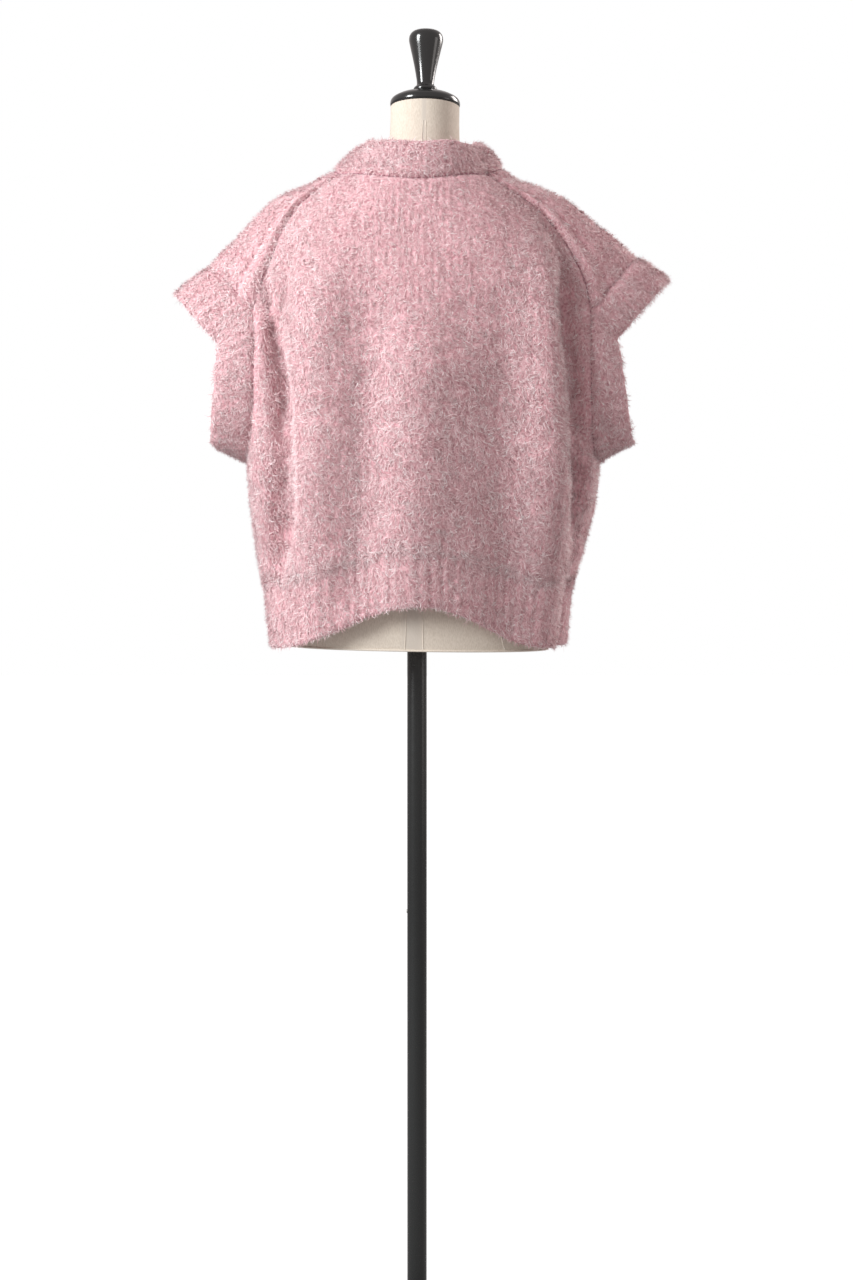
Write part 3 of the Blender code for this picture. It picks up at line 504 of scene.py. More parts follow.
def cloth_faces(rows, columns, every_row, every_column, closed):
    """Faces of a shell: a fine outer grid, a coarse inner grid, and rims between them."""
    shift = rows * columns
    inner_rows = (rows - 1) // every_row + 1
    inner_spans = (columns if closed else columns - 1) // every_column
    inner_columns = inner_spans if closed else inner_spans + 1
    faces = grid_faces(rows, columns, closed)
    faces += [face[:1] + face[:0:-1] for face in grid_faces(inner_rows, inner_columns, closed, first=shift)]
    for row, inner_row in ((0, 0), (rows - 1, inner_rows - 1)):
        inner = shift + inner_row * inner_columns
        for spot in range(inner_spans):
            outer = [row * columns + (spot * every_column + n) % columns for n in range(every_column + 1)]
            faces.append((*outer, inner + (spot + 1) % inner_columns, inner + spot))
    if not closed:
        for spot, inner_spot in ((0, 0), (columns - 1, inner_columns - 1)):
            inner = shift + inner_spot
            for row in range(inner_rows - 1):
                outer = [(row * every_row + n) * columns + spot for n in range(every_row + 1)]
                faces.append((*outer, inner + (row + 1) * inner_columns, inner + row * inner_columns))
    return faces


# A shell's free edges are rounded over this width, by this share of its wall on either side. The map of its
# stitch columns has this many units to a metre, and it is never thinner than this.
EDGE_WIDTH = 0.005
EDGE_DROP = 0.42
KNIT_MAP_SCALE = 10.0
THINNEST = 0.001


def make_cloth(name, base, normals, relief, wall, by, free, closed, edge_width):
    """A knitted shell and the points of its outer side, which relief raises."""
    rows_by, columns_by = by
    distances = edge_distances(base, closed)
    drop = np.zeros(base.shape[:2])
    for side in free:
        edge = np.clip(1.0 - distances[side] / edge_width, 0.0, 1.0)
        drop += (1.0 - np.sqrt(1.0 - edge**2)) * wall * EDGE_DROP
    outer = base + normals * (relief - drop)[:, :, None]
    inner = (base - normals * (wall - drop)[:, :, None])[::rows_by, ::columns_by]
    points = np.concatenate((outer.reshape(-1, 3), inner.reshape(-1, 3)))
    piece = make_mesh(name, points, cloth_faces(*base.shape[:2], rows_by, columns_by, closed), KNIT)
    if closed:
        ring = np.linalg.norm(np.roll(base, -1, axis=1) - base, axis=-1)
        across = np.cumsum(ring, axis=1) - ring
    else:
        across = distances["first_column"]
    places = np.stack([across - across[:, across.shape[1] // 2][:, None], distances["first_row"]], axis=-1)
    flat = np.concatenate((places.reshape(-1, 2), places[::rows_by, ::columns_by].reshape(-1, 2)))
    layer = piece.data.uv_layers.new(name="knit")
    corners = np.empty(len(piece.data.loops), dtype=np.int32)
    piece.data.loops.foreach_get("vertex_index", corners)
    layer.data.foreach_set("uv", (flat[corners] * KNIT_MAP_SCALE).ravel())
    return piece, outer


def strand_mesh(name, points, shading, faces, spots, tones, material):
    """One mesh of many small strands alike, each with its own patch of the baking map."""
    count, size = points.shape[:2]
    corners = np.array([corner for face in faces for corner in face], dtype=np.int32)
    starts = np.cumsum([0] + [len(face) for face in faces[:-1]], dtype=np.int32)
    first = np.arange(count, dtype=np.int32)[:, None]
    mesh = bpy.data.meshes.new(name)
    mesh.vertices.add(count * size)
    mesh.vertices.foreach_set("co", points.ravel())
    mesh.loops.add(count * corners.size)
    mesh.loops.foreach_set("vertex_index", (first * size + corners).ravel())
    mesh.polygons.add(count * starts.size)
    mesh.polygons.foreach_set("loop_start", (first * corners.size + starts).ravel())
    mesh.update(calc_edges=True)
    mesh.validate()
    layer = mesh.attributes.new("tone", "FLOAT", "POINT")
    layer.data.foreach_set("value", tones.ravel().astype(np.float32))
    cells = math.ceil(math.sqrt(count))
    cell = np.stack([np.arange(count) % cells, np.arange(count) // cells], axis=-1)[:, None]
    bake = mesh.uv_layers.new(name="OFBake")
    bake.data.foreach_set("uv", ((cell + np.array(spots)) / cells)[:, corners].ravel())
    mesh.materials.append(material)
    mesh.polygons.foreach_set("use_smooth", np.ones(count * starts.size, dtype=bool))
    mesh.normals_split_custom_set_from_vertices(unit(shading).reshape(-1, 3).tolist())
    return place_object(name, mesh)


# A low fibre is a strip of two faces on a spine of three points: each is a share of its length ahead, of its
# rise above and of its curl aside. An upright one is a spike with three sides. The spots lie in a fibre's
# patch of the baking map, and the tones are added to the fibre's own from its root to its tip: the darker
# root is painted shade among the fibres, and the lighter tip a painted highlight.
STRIP_FACES = ((0, 1, 3, 2), (2, 3, 4))
STRIP_SPOTS = ((0.2, 0.1), (0.8, 0.1), (0.2, 0.5), (0.8, 0.5), (0.5, 0.9))
STRIP_SPINE = ((0.0, -0.20, 0.0), (0.5, 0.80, 0.25), (1.0, 0.68, 1.0))
STRIP_PAINTED_SHADING = (-0.20, -0.20, 0.0, 0.0, 0.05)
STRIP_TILT = 0.12
STRIP_ROUND = 0.45
SPIKE_FACES = ((1, 0, 3), (2, 1, 3), (0, 2, 3))
SPIKE_SPOTS = ((0.1, 0.1), (0.9, 0.1), (0.5, 0.4), (0.5, 0.9))
SPIKE_ANGLES = (0.5 * math.pi, 7.0 / 6.0 * math.pi, 11.0 / 6.0 * math.pi)
SPIKE_PAINTED_SHADING = (-0.20, -0.20, -0.20, 0.10)
SPIKE_ROOT = 0.25
SPIKE_AHEAD = 0.8
SPIKE_RISE = 1.3
SPIKE_ASIDE = 0.6
SPIKE_ROUND = 0.4
TIP_LEAN = 0.2
LENGTH_SPREAD = (0.6, 1.35)
WIDTH_SPREAD = (0.7, 1.3)
RISE_LEAST = 0.35
RISE_MORE = 2.2
RISE_POWER = 2.5
THIN_PILE = 0.5
OWN_TONE = 0.78
CLUMP_TONE = 0.5
CLUMP_SWING = 0.7
UPRIGHT_SHARE = 0.42

# How the pile of a piece lies: sizes in metres, angles in radians from straight down
Look = namedtuple("Look", "length lift width curl lean swirl swirl_scale scatter clump_scale")
PANEL_LOOK = Look(0.0076, 0.0023, 0.00066, 0.50, 0.0, 2.2, 46.0, 0.72, 240.0)
RIB_LOOK = Look(0.0070, 0.0022, 0.00064, 0.45, 0.0, 1.6, 48.0, 0.62, 240.0)


def strands(name, grid, normals, pile, count, seed, look, closed, upright):
    """Short fibres all over a grid of cloth: bent strips that lie low, or straight ones that stand up."""
    rng = np.random.default_rng(seed)
    if closed:
        grid, normals, pile = (np.concatenate((part, part[:, :1]), axis=1) for part in (grid, normals, pile))
    corner = grid[:-1, :-1]
    area = np.linalg.norm(np.cross(grid[:-1, 1:] - corner, grid[1:, :-1] - corner), axis=-1)
    share = np.cumsum((area * pile[:-1, :-1]).ravel())
    spread = (np.arange(count) + rng.random(count)) / count
    pick = np.minimum(np.searchsorted(share, spread * share[-1]), share.size - 1)
    row, spot = np.divmod(pick, grid.shape[1] - 1)
    s = rng.random(count)[:, None]
    t = rng.random(count)[:, None]

    def blend(values):
        low = values[row, spot] * (1 - s) + values[row, spot + 1] * s
        high = values[row + 1, spot] * (1 - s) + values[row + 1, spot + 1] * s
        return low * (1 - t) + high * t

    root = blend(grid)
    normal = unit(blend(normals))
    down = unit(np.array((0.0, 0.0, -1.0)) + normal * normal[:, 2:3])
    side = np.cross(normal, down)
    swirl = noise_at(root, look.swirl_scale, seed)
    angle = look.lean + look.swirl * swirl + rng.normal(0.0, look.scatter, count)
    heading = np.cos(angle)[:, None] * down + np.sin(angle)[:, None] * side
    beside = np.cross(normal, heading)
    thick = THIN_PILE + (1.0 - THIN_PILE) * np.minimum(blend(pile[:, :, None]), 1.0)
    long = look.length * rng.uniform(*LENGTH_SPREAD, count)[:, None] * thick
    rise = look.lift * (RISE_LEAST + RISE_MORE * rng.random(count) ** RISE_POWER)[:, None] * thick
    curl = rng.normal(0.0, look.curl, count)[:, None] * long
    half = look.width * rng.uniform(*WIDTH_SPREAD, count)[:, None] / 2.0
    clump = CLUMP_TONE + CLUMP_SWING * noise_at(root, look.clump_scale, seed + 5)
    tone = (OWN_TONE * rng.random(count) + (1.0 - OWN_TONE) * clump)[:, None]
    points = []
    shading = []
    if upright:
        foot = root - SPIKE_ROOT * rise * normal
        tip = root + SPIKE_AHEAD * heading * long + SPIKE_RISE * rise * normal + SPIKE_ASIDE * beside * curl
        axis = unit(tip - foot)
        across = unit(np.cross(axis, normal))
        above = np.cross(across, axis)
        for turn in SPIKE_ANGLES:
            out = math.cos(turn) * across + math.sin(turn) * above
            points.append(foot + out * half)
            shading.append(normal + SPIKE_ROUND * out)
        faces, spots, tones = SPIKE_FACES, SPIKE_SPOTS, SPIKE_PAINTED_SHADING
    else:
        spine = [
            root + heading * long * ahead + rise * above * normal + beside * curl * aside
            for ahead, above, aside in STRIP_SPINE
        ]
        tilt = unit(normal + rng.normal(0.0, STRIP_TILT, (count, 3)))
        for k in range(2):
            width = unit(np.cross(unit(spine[k + 1] - spine[max(k - 1, 0)]), tilt))
            points += [spine[k] - width * half, spine[k] + width * half]
            shading += [normal - width * STRIP_ROUND, normal + width * STRIP_ROUND]
        tip = spine[2]
        axis = unit(tip - spine[1])
        faces, spots, tones = STRIP_FACES, STRIP_SPOTS, STRIP_PAINTED_SHADING
    points = np.stack(points + [tip], axis=1)
    shading = np.stack(shading + [normal + TIP_LEAN * axis], axis=1)
    return strand_mesh(name, points, shading, faces, spots, tone + np.array(tones), PILE)


def set_inputs(tree, node, inputs):
    """Sets a node's inputs: links the sockets in, and sets the numbers and colours."""
    for name, value in inputs.items():
        if isinstance(value, bpy.types.NodeSocket):
            tree.links.new(value, node.inputs[name])
        else:
            node.inputs[name].default_value = value


def add_node(tree, kind, inputs=None):
    node = tree.nodes.new("ShaderNode" + kind)
    set_inputs(tree, node, inputs or {})
    return node


def new_material(name, colour, roughness, inputs):
    material = bpy.data.materials.new(name)
    material.use_nodes = True
    tree = material.node_tree
    shader = tree.nodes["Principled BSDF"]
    set_inputs(tree, shader, {"Base Color": (*colour, 1.0), "Roughness": roughness, **inputs})
    return material, tree, shader


def add_ramp(tree, value, stops):
    node = add_node(tree, "ValToRGB", {"Fac": value})
    ends = node.color_ramp.elements
    for end, (place, colour) in zip(ends, (stops[0], stops[-1])):
        end.position = place
        end.color = (*colour, 1.0)
    for place, colour in stops[1:-1]:
        ends.new(place).color = (*colour, 1.0)
    return node.outputs["Color"]


def add_noise(tree, scale, detail, place=None):
    """Noise over the object's own space, or over another place."""
    if place is None:
        place = add_node(tree, "TexCoord").outputs["Object"]
    return add_node(tree, "TexNoise", {"Scale": scale, "Detail": detail, "Vector": place}).outputs["Fac"]


def add_bump(tree, shader, height, distance, strength, under=None):
    inputs = {"Distance": distance, "Strength": strength, "Height": height}
    if under is not None:
        inputs["Normal"] = under
    normal = add_node(tree, "Bump", inputs).outputs["Normal"]
    set_inputs(tree, shader, {"Normal": normal})
    return normal


STITCH_PITCH = 0.0088
# The wave texture has one wave for each turn of its scale times this.
WAVE_TURN = 20.0
# Sockets of a colour mix node: its two colours and the mixed one
MIX_FIRST = 6
MIX_SECOND = 7
MIX_OUT = 2


def knit_material(name, dark, middle, light):
    """The ground of the knit under its pile: loops of bouclé yarn in stitch columns.
    Its colours are darker and more saturated than the fibres': partly the yarn's own colour and partly
    painted shade in the gaps between the fibres.
    """
    inputs = {
        "Sheen Weight": 0.60,
        "Sheen Tint": (1.0, 0.80, 0.83, 1.0),
        "Sheen Roughness": 0.55,
        "Specular IOR Level": 0.12,
    }
    material, tree, shader = new_material(name, middle, 0.95, inputs)
    loops = add_noise(tree, scale=260.0, detail=3.0)
    colour = add_ramp(tree, loops, ((0.30, dark), (0.50, middle), (0.74, light)))
    spots = add_node(tree, "UVMap")
    spots.uv_map = "knit"
    waves = {
        "Scale": 2.0 * math.pi / (WAVE_TURN * STITCH_PITCH * KNIT_MAP_SCALE),
        "Distortion": 1.4,
        "Detail Scale": 3.0,
        "Vector": spots.outputs["UV"],
    }
    stitches = add_node(tree, "TexWave", waves)
    stitches.wave_type = "BANDS"
    stitches.bands_direction = "X"
    first = add_bump(tree, shader, stitches.outputs["Fac"], distance=0.0008, strength=0.4)
    add_bump(tree, shader, loops, distance=0.0014, strength=0.5, under=first)
    set_inputs(tree, shader, {"Base Color": colour})
    return material


def pile_material(name, stops):
    """The fibres: each has its own tone, with painted shade darker at its root and a painted highlight at its
    tip.
    """
    inputs = {
        "Sheen Weight": 0.28,
        "Sheen Tint": (1.0, 0.80, 0.82, 1.0),
        "Sheen Roughness": 0.35,
        "Specular IOR Level": 0.45,
    }
    material, tree, shader = new_material(name, stops[1][1], 0.50, inputs)
    tone = add_node(tree, "Attribute")
    tone.attribute_name = "tone"
    set_inputs(tree, shader, {"Base Color": add_ramp(tree, tone.outputs["Fac"], stops)})
    return material


def thread_material(name, dark, light):
    """Matt sewing thread, darker than the yarn: partly its own colour and partly painted shade in the seams'
    grooves.
    """
    material, tree, shader = new_material(name, dark, 0.9, {"Specular IOR Level": 0.15})
    colour = add_ramp(tree, add_noise(tree, scale=700.0, detail=2.0), ((0.30, dark), (0.70, light)))
    set_inputs(tree, shader, {"Base Color": colour})
    return material


def linen_material(name, middle, shade, strip=None):
    """Stretched linen. A strip colour shows where the form's strip is marked, up the middle of its back."""
    inputs = {"Sheen Weight": 0.10, "Specular IOR Level": 0.25}
    material, tree, shader = new_material(name, middle, 0.82, inputs)
    place = add_node(tree, "TexCoord").outputs["Object"]
    slubs = add_node(tree, "Mapping", {"Scale": (1.0, 1.0, 0.25), "Vector": place})
    weave = add_noise(tree, scale=900.0, detail=3.0, place=slubs.outputs["Vector"])
    colour = add_ramp(tree, weave, ((0.35, shade), (0.62, middle)))
    if strip is not None:
        mark = add_node(tree, "Attribute")
        mark.attribute_name = "strip"
        mix = add_node(tree, "Mix")
        mix.data_type = "RGBA"
        set_inputs(tree, mix, {"Factor": mark.outputs["Fac"], MIX_FIRST: colour, MIX_SECOND: (*strip, 1.0)})
        colour = mix.outputs[MIX_OUT]
    set_inputs(tree, shader, {"Base Color": colour})
    add_bump(tree, shader, weave, distance=0.0004, strength=0.5)
    return material


def black_material(name, colour, roughness, spread, coat):
    """Black lacquer or satin paint, with a fine unevenness in its gloss."""
    inputs = {"Coat Weight": coat, "Coat Roughness": 0.08}
    material, tree, shader = new_material(name, colour, roughness, inputs)
    uneven = add_noise(tree, scale=90.0, detail=4.0)
    limits = {"Value": uneven, "To Min": roughness - spread, "To Max": roughness + spread}
    gloss = add_node(tree, "MapRange", limits)
    set_inputs(tree, shader, {"Roughness": gloss.outputs["Result"]})
    add_bump(tree, shader, uneven, distance=0.0002, strength=0.04)
    return material


# The ground's darker, more saturated colours are partly painted shade in the gaps between the fibres.
KNIT = knit_material("pink_ground", (0.52, 0.235, 0.27), (0.71, 0.405, 0.44), (0.83, 0.585, 0.615))
# The fibres' colours by tone: the low tones at their roots are painted shade, and the near-white top is
# partly painted glints on the fibres.
PILE = pile_material(
    "pink_pile",
    (
        (0.0, (0.50, 0.225, 0.25)),
        (0.30, (0.74, 0.455, 0.48)),
        (0.64, (0.88, 0.67, 0.685)),
        (1.0, (1.0, 0.97, 0.965)),
    ),
)
# The thread's dark colours are partly painted shade in the seams' grooves.
THREAD = thread_material("pink_thread", (0.34, 0.13, 0.17), (0.52, 0.27, 0.31))
LINEN = linen_material("form_linen", (0.73, 0.65, 0.56), (0.63, 0.55, 0.46), (0.62, 0.555, 0.485))
PIPING = linen_material("form_piping", (0.78, 0.71, 0.62), (0.69, 0.61, 0.52))
GLOSS = black_material("black_gloss", (0.010, 0.010, 0.010), roughness=0.20, spread=0.03, coat=0.6)
SATIN = black_material("black_satin", (0.014, 0.015, 0.015), roughness=0.27, spread=0.04, coat=0.0)
STEEL = black_material("screw_steel", (0.45, 0.44, 0.42), roughness=0.35, spread=0.05, coat=0.0)


# Each knitted piece: its flat width, length and area as it was cut, how many fibres it carries, the seed of
# their places, how it is held, its wall, how its fibres lie and how much finer its rows and columns are than
# those of its solid. The upright fibres draw their places with a seed of their own.
CUTS = {
    cut.name: cut
    for cut in table(
        "name width length area strands seed held wall look finer",
        ("back_panel", 0.670, 0.600, 0.2840, 100000, 3, "hung", WALL, PANEL_LOOK, (5, 8)),
        ("front_panel", 0.690, 0.600, 0.2920, 60000, 5, "hung", WALL, PANEL_LOOK, (4, 6)),
        ("shoulder_cap_left", 0.234, 0.228, 0.0310, 10000, 11, "draped", WALL, PANEL_LOOK, (5, 6)),
        ("shoulder_cap_right", 0.251, 0.244, 0.0334, 10000, 13, "draped", WALL, PANEL_LOOK, (5, 6)),
        ("hem_rib_back", 0.588, 0.089, 0.0474, 18000, 7, "hung", RIB_WALL, RIB_LOOK, (3, 8)),
        ("hem_rib_front", 0.613, 0.089, 0.0524, 12000, 9, "hung", RIB_WALL, RIB_LOOK, (3, 8)),
        ("armhole_band_left_back", 0.365, 0.061, 0.0198, 8000, 15, "hung", RIB_WALL, RIB_LOOK, (5, 5)),
        ("armhole_band_left_front", 0.362, 0.061, 0.0196, 6000, 17, "hung", RIB_WALL, RIB_LOOK, (5, 5)),
        ("armhole_band_right_back", 0.374, 0.058, 0.0186, 8000, 19, "hung", RIB_WALL, RIB_LOOK, (5, 5)),
        ("armhole_band_right_front", 0.371, 0.058, 0.0183, 6000, 21, "hung", RIB_WALL, RIB_LOOK, (5, 5)),
        ("collar", 0.680, 0.060, 0.0323, 13000, 23, "draped", COLLAR_WALL, PANEL_LOOK, (4, 3)),
    )
}
UPRIGHT_SEED = 100

# Creases on top of the folds: their x at four heights, their half widths towards their own side and towards
# the middle, their depth, which is below zero for a ridge, and how far they fade out past their ends
CREASES = table(
    "panel x1 z1 x2 z2 x3 z3 x4 z4 outward inward depth fade",
    ("back", 0.184, 1.07, 0.173, 1.16, 0.177, 1.29, 0.209, 1.46, 0.015, 0.009, 0.016, 0.05),
    ("back", -0.222, 1.12, -0.219, 1.18, -0.214, 1.30, -0.199, 1.43, 0.011, 0.015, 0.012, 0.07),
    ("back", 0.094, 1.03, 0.094, 1.10, 0.092, 1.22, 0.090, 1.34, 0.022, 0.022, -0.0045, 0.06),
    ("back", 0.006, 1.04, 0.005, 1.10, 0.004, 1.20, 0.004, 1.33, 0.058, 0.130, -0.0120, 0.09),
    ("back", 0.081, 0.90, 0.081, 0.94, 0.081, 0.98, 0.081, 1.00, 0.026, 0.022, -0.0090, 0.04),
    ("front", 0.176, 1.07, 0.170, 1.16, 0.174, 1.27, 0.187, 1.40, 0.020, 0.010, 0.010, 0.05),
    ("front", -0.196, 1.10, -0.204, 1.19, -0.210, 1.30, -0.208, 1.40, 0.014, 0.012, 0.009, 0.05),
)
CREASE_OVER_HEM = 0.060
CREASE_TO_SIDE = 0.020

# Ribs: how high they show as a share of the solids', their pitch in columns of the solid, and the stretch of
# rows they run over, with its fade
RIBS = {
    ribs.kind: ribs
    for ribs in table(
        "kind rows height pitch start stop fade",
        ("hem", HEM_LEVELS, 0.65, 1.0, -0.02, math.inf, 0.10),
        ("armhole", BAND_ROWS, 0.65, 2.0 / 3.0, 0.06, 1.10, 0.12),
        ("collar", COLLAR_ROWS, 0.35, 2.0, 0.10, 1.10, 0.16),
    )
}
PANEL_RIB = 0.65
PANEL_RIB_END = 0.022
RIB_PILE = 0.25
COLLAR_RIB_PILE = 0.10

# The knit's face is uneven by small lumps and wider swells, given in that order.
PANEL_LUMPS = (0.0011, 0.0008)
CAP_LUMPS = (0.0009, 0.0010)
BAND_LUMPS = (0.0007, 0.0007)
COLLAR_LUMPS = (0.0013, 0.0010)
LUMP_SCALE = 120.0
SWELL_SCALE = 31.0

# The stitch columns of a panel wander by their stray, and show most on its plain top, where the pile is thin.
PLAIN_LOW = 1.40
PLAIN_FADE = 0.20
PLAIN_HALF_WIDTH = 0.11
PLAIN_SIDE_FADE = 0.09
PLAIN_PILE = 0.60
STITCH_RAISE = 0.0001
STITCH_RAISE_PLAIN = 0.0004
STITCH_EVEN = 0.8
STITCH_SWING = 0.6
STITCH_SWING_SCALE = 60.0
STRAY = 0.0016
STRAY_SCALE = 34.0

# Seams: how deep and wide they dip, how bare of fibres they are, and how much thicker the pile is at the hem
# seam. The bare strips along the raglan and collar seams have sharp edges, which the higher power gives.
SIDE_EDGES = ("first_column", "last_column")
SEAM_DEPTH = 0.0024
SEAM_WIDTH = 0.0035
SIDE_SEAM_WIDTH = 0.0028
SIDE_SEAM_SHOWN = 0.35
HEM_SIDE_DEPTH = 0.0022
CAP_FOOT_DEPTH = 0.0006
CAP_NECK_DEPTH = 0.0020
BAND_SEAM_DEPTH = 0.0008
COLLAR_SEAM = (0.0042, 0.0042)
RAGLAN_LOW = 1.42
RAGLAN_FADE = 0.04
RAGLAN_SEWN = 1.425
SIDE_BARE = 0.3
RAGLAN_BARE = 0.68
RAGLAN_BARE_WIDTH = 0.0026
ARMHOLE_LOW = 1.24
ARMHOLE_FADE = 0.03
ARMHOLE_BARE = 0.75
ARMHOLE_BARE_WIDTH = 0.012
NECK_BARE = 0.95
SHARP_POWER = 4
HEM_SEAM_PILE = 1.8
HEM_SEAM_WIDTH = 0.006

# The raised welt beside each raglan seam and the groove inside it, at places across a cap. The fibres stand
# thicker on the crests of caps and bands, and thinner at the collar's foot.
WELT_PLACE = 0.93
WELT_WIDTH = 0.042
WELT_LEAST = 0.55
WELT_MORE = 0.80
WELT_FOOT = 0.022
WELT_PILE = 0.2
GROOVE_PLACE = 0.815
GROOVE_WIDTH = 0.022
GROOVE_DEPTH = 0.0020
GROOVE_BARE = 0.85
CAP_CREST_WIDTH = 0.12
CAP_CREST_PILE = 0.8
BAND_CREST_WIDTH = 0.014
BAND_CREST_PILE = 1.5
COLLAR_EDGE_WIDTH = 0.009
COLLAR_FOOT = 0.08
COLLAR_FOOT_PILE = 0.3

# Stitches of thread: their spacing, and each one's three places along it with its arch and taper there
SEAM_STEP = 0.0066
STITCH_PLACES = (0.15, 0.50, 0.85)
STITCH_ARCH = (0.0, 0.0006, 0.0)
STITCH_TAPER = (0.6, 1.0, 0.6)
STITCH_SUNK = 0.0012
STITCH_RADIUS = 0.0008
STITCH_SIDES = 6
# Points of two pieces that agree to this many decimals are one point of a seam.
SEAM_DIGITS = 5


def place_key(point):
    return tuple(np.round(point, SEAM_DIGITS))


def share_normals(grids):
    """Where pieces meet, their normals are made the same, so that their walls meet too."""
    meeting = {}
    for points, _ in grids:
        for edge in (points[0], points[-1], points[:, 0], points[:, -1]):
            for point in edge:
                meeting.setdefault(place_key(point), np.zeros(3))
    found = []
    for points, normals in grids:
        seen = set()
        for spot in np.ndindex(points.shape[:2]):
            key = place_key(points[spot])
            if key in meeting:
                found.append((normals, spot, key))
                if key not in seen:
                    meeting[key] += normals[spot]
                    seen.add(key)
    for normals, spot, key in found:
        normals[spot] = unit(meeting[key])


def creased(panel, points, normals, hem=False):
    """The cloth moved along its normals into the creases, and left alone at its side edges.

    The troughs end above the hem's seam, and the ridges run over it.
    """
    distances = edge_distances(points)
    x = points[:, :, 0]
    z = points[:, :, 2]
    amount = np.zeros(x.shape)
    above_hem = 0.0 if hem else np.clip(distances["first_row"] / CREASE_OVER_HEM, 0.0, 1.0)
    for crease in CREASES:
        if crease.panel == panel:
            along = np.clip(z, crease.z1, crease.z4)
            heights = (crease.z1, crease.z2, crease.z3, crease.z4)
            off = x - smooth(heights, (crease.x1, crease.x2, crease.x3, crease.x4), along)
            off *= math.copysign(1.0, crease.x2)
            shown = near(off, np.where(off > 0.0, crease.outward, crease.inward))
            shown *= fade_window(z, crease.z1, crease.z4, crease.fade)
            amount -= crease.depth * shown * (above_hem if crease.depth > 0.0 else 1.0)
    ends = np.minimum(distances["first_column"], distances["last_column"])
    amount *= np.clip(ends / CREASE_TO_SIDE, 0.0, 1.0)
    return points + normals * amount[:, :, None]


def knit_relief(points, seed, lumps, swell):
    """The uneven face of the bouclé knit."""
    return lumps * noise_at(points, LUMP_SCALE, seed) + swell * noise_at(points, SWELL_SCALE, seed + 1)


def seam_dip(distances, sides, depth=SEAM_DEPTH, width=SEAM_WIDTH):
    """The cloth dips towards each seam."""
    return -depth * near(np.minimum.reduce([distances[side] for side in sides]), width)


def ribbed(columns, pitch, finer):
    """The ribs across a grid, from 0 in a furrow to 1 on a ridge. pitch is in columns of the solid."""
    return 0.5 - 0.5 * np.cos(2.0 * math.pi * np.arange(columns)[None, :] / finer / pitch)


def ribbing(name, columns):
    """Where a ribbed piece's ridges are, how high they stand, and how far across the piece its rows lie."""
    finer = CUTS[name].finer
    ribs = RIBS[name.split("_")[0]]
    share = np.clip(spline(np.array(ribs.rows), finer[0], 0), 0.0, 1.0)[:, None]
    ridges = ribbed(columns, ribs.pitch, finer[1])
    window = bump_between(share, ribs.start, ribs.stop, ribs.fade)
    return ridges, ribs.height * RIB_RAISE * ridges * window, share


def knit(
    name, points, normals, relief, pile, rests_on, seams=(), free=(), closed=False, edge_width=EDGE_WIDTH
):
    """One piece of the garment: its shell, the stitches on its seams, and its fibres, which go with it."""
    cut = CUTS[name]
    relief = np.maximum(relief, THINNEST - cut.wall)
    shell = (name + "_knit", points, normals, relief, cut.wall, cut.finer, free, closed, edge_width)
    piece, outer = make_cloth(*shell)
    carry(piece, name)
    for seam in seams:
        add_stitches(*seam)
    upright = round(UPRIGHT_SHARE * cut.strands)
    for title, count, stands in (("_pile", cut.strands - upright, False), ("_fuzz", upright, True)):
        seed = cut.seed + UPRIGHT_SEED * stands
        layer = strands(name + title, outer, normals, pile, count, seed, cut.look, closed, stands)
        carry(layer)


def add_panel(name, points, normals):
    """A panel: bouclé knit with stitch columns, the ends of the hem's ribs, and dips along its seams."""
    cut = CUTS[name]
    points = creased(name.split("_")[0], points, normals)
    distances = edge_distances(points)
    across = distances["first_column"] - distances["first_column"][:, points.shape[1] // 2][:, None]
    ends = np.minimum(distances["first_column"], distances["last_column"])
    height = points[:, :, 2]
    plain = bump_between(height, PLAIN_LOW, math.inf, PLAIN_FADE)
    plain *= bump_between(across, -PLAIN_HALF_WIDTH, PLAIN_HALF_WIDTH, PLAIN_SIDE_FADE)
    raglan = np.clip((height - RAGLAN_LOW) / RAGLAN_FADE, 0.0, 1.0)
    armhole = bump_between(height, ARMHOLE_LOW, RAGLAN_SEWN, ARMHOLE_FADE)
    stray = across + STRAY * noise_at(points, STRAY_SCALE, cut.seed + 2)
    stitch = STITCH_EVEN + STITCH_SWING * noise_at(points, STITCH_SWING_SCALE, cut.seed + 3)
    stitch *= STITCH_RAISE + STITCH_RAISE_PLAIN * plain
    relief = knit_relief(points, cut.seed, *PANEL_LUMPS)
    relief += stitch * np.cos(2.0 * math.pi * stray / STITCH_PITCH)
    rib = ribbed(points.shape[1], 1.0, cut.finer[1]) * near(distances["first_row"], PANEL_RIB_END, 1)
    relief += PANEL_RIB * RIB_RAISE * rib
    shown = SIDE_SEAM_SHOWN + (1.0 - SIDE_SEAM_SHOWN) * raglan
    relief += seam_dip(distances, SIDE_EDGES, width=SIDE_SEAM_WIDTH) * shown
    relief += seam_dip(distances, ("last_row",))
    pile = 1.0 - (1.0 - PLAIN_PILE) * plain
    pile *= 1.0 - (SIDE_BARE + RAGLAN_BARE * raglan) * near(ends, RAGLAN_BARE_WIDTH, SHARP_POWER)
    pile *= 1.0 - ARMHOLE_BARE * armhole * near(ends, ARMHOLE_BARE_WIDTH)
    pile *= 1.0 - NECK_BARE * near(distances["last_row"], SEAM_WIDTH, SHARP_POWER)
    pile *= 1.0 + HEM_SEAM_PILE * near(distances["first_row"], HEM_SEAM_WIDTH)
    sewn = points[:, 0, 2] > RAGLAN_SEWN
    raglans = [
        (name + "_raglan_" + word, points[sewn, side], normals[sewn, side])
        for side, word in ((0, "left"), (-1, "right"))
    ]
    hung_from = ["shoulder_cap_left_knit", "shoulder_cap_right_knit", "collar_knit"]
    knit(name, points, normals, relief, pile, hung_from, raglans)


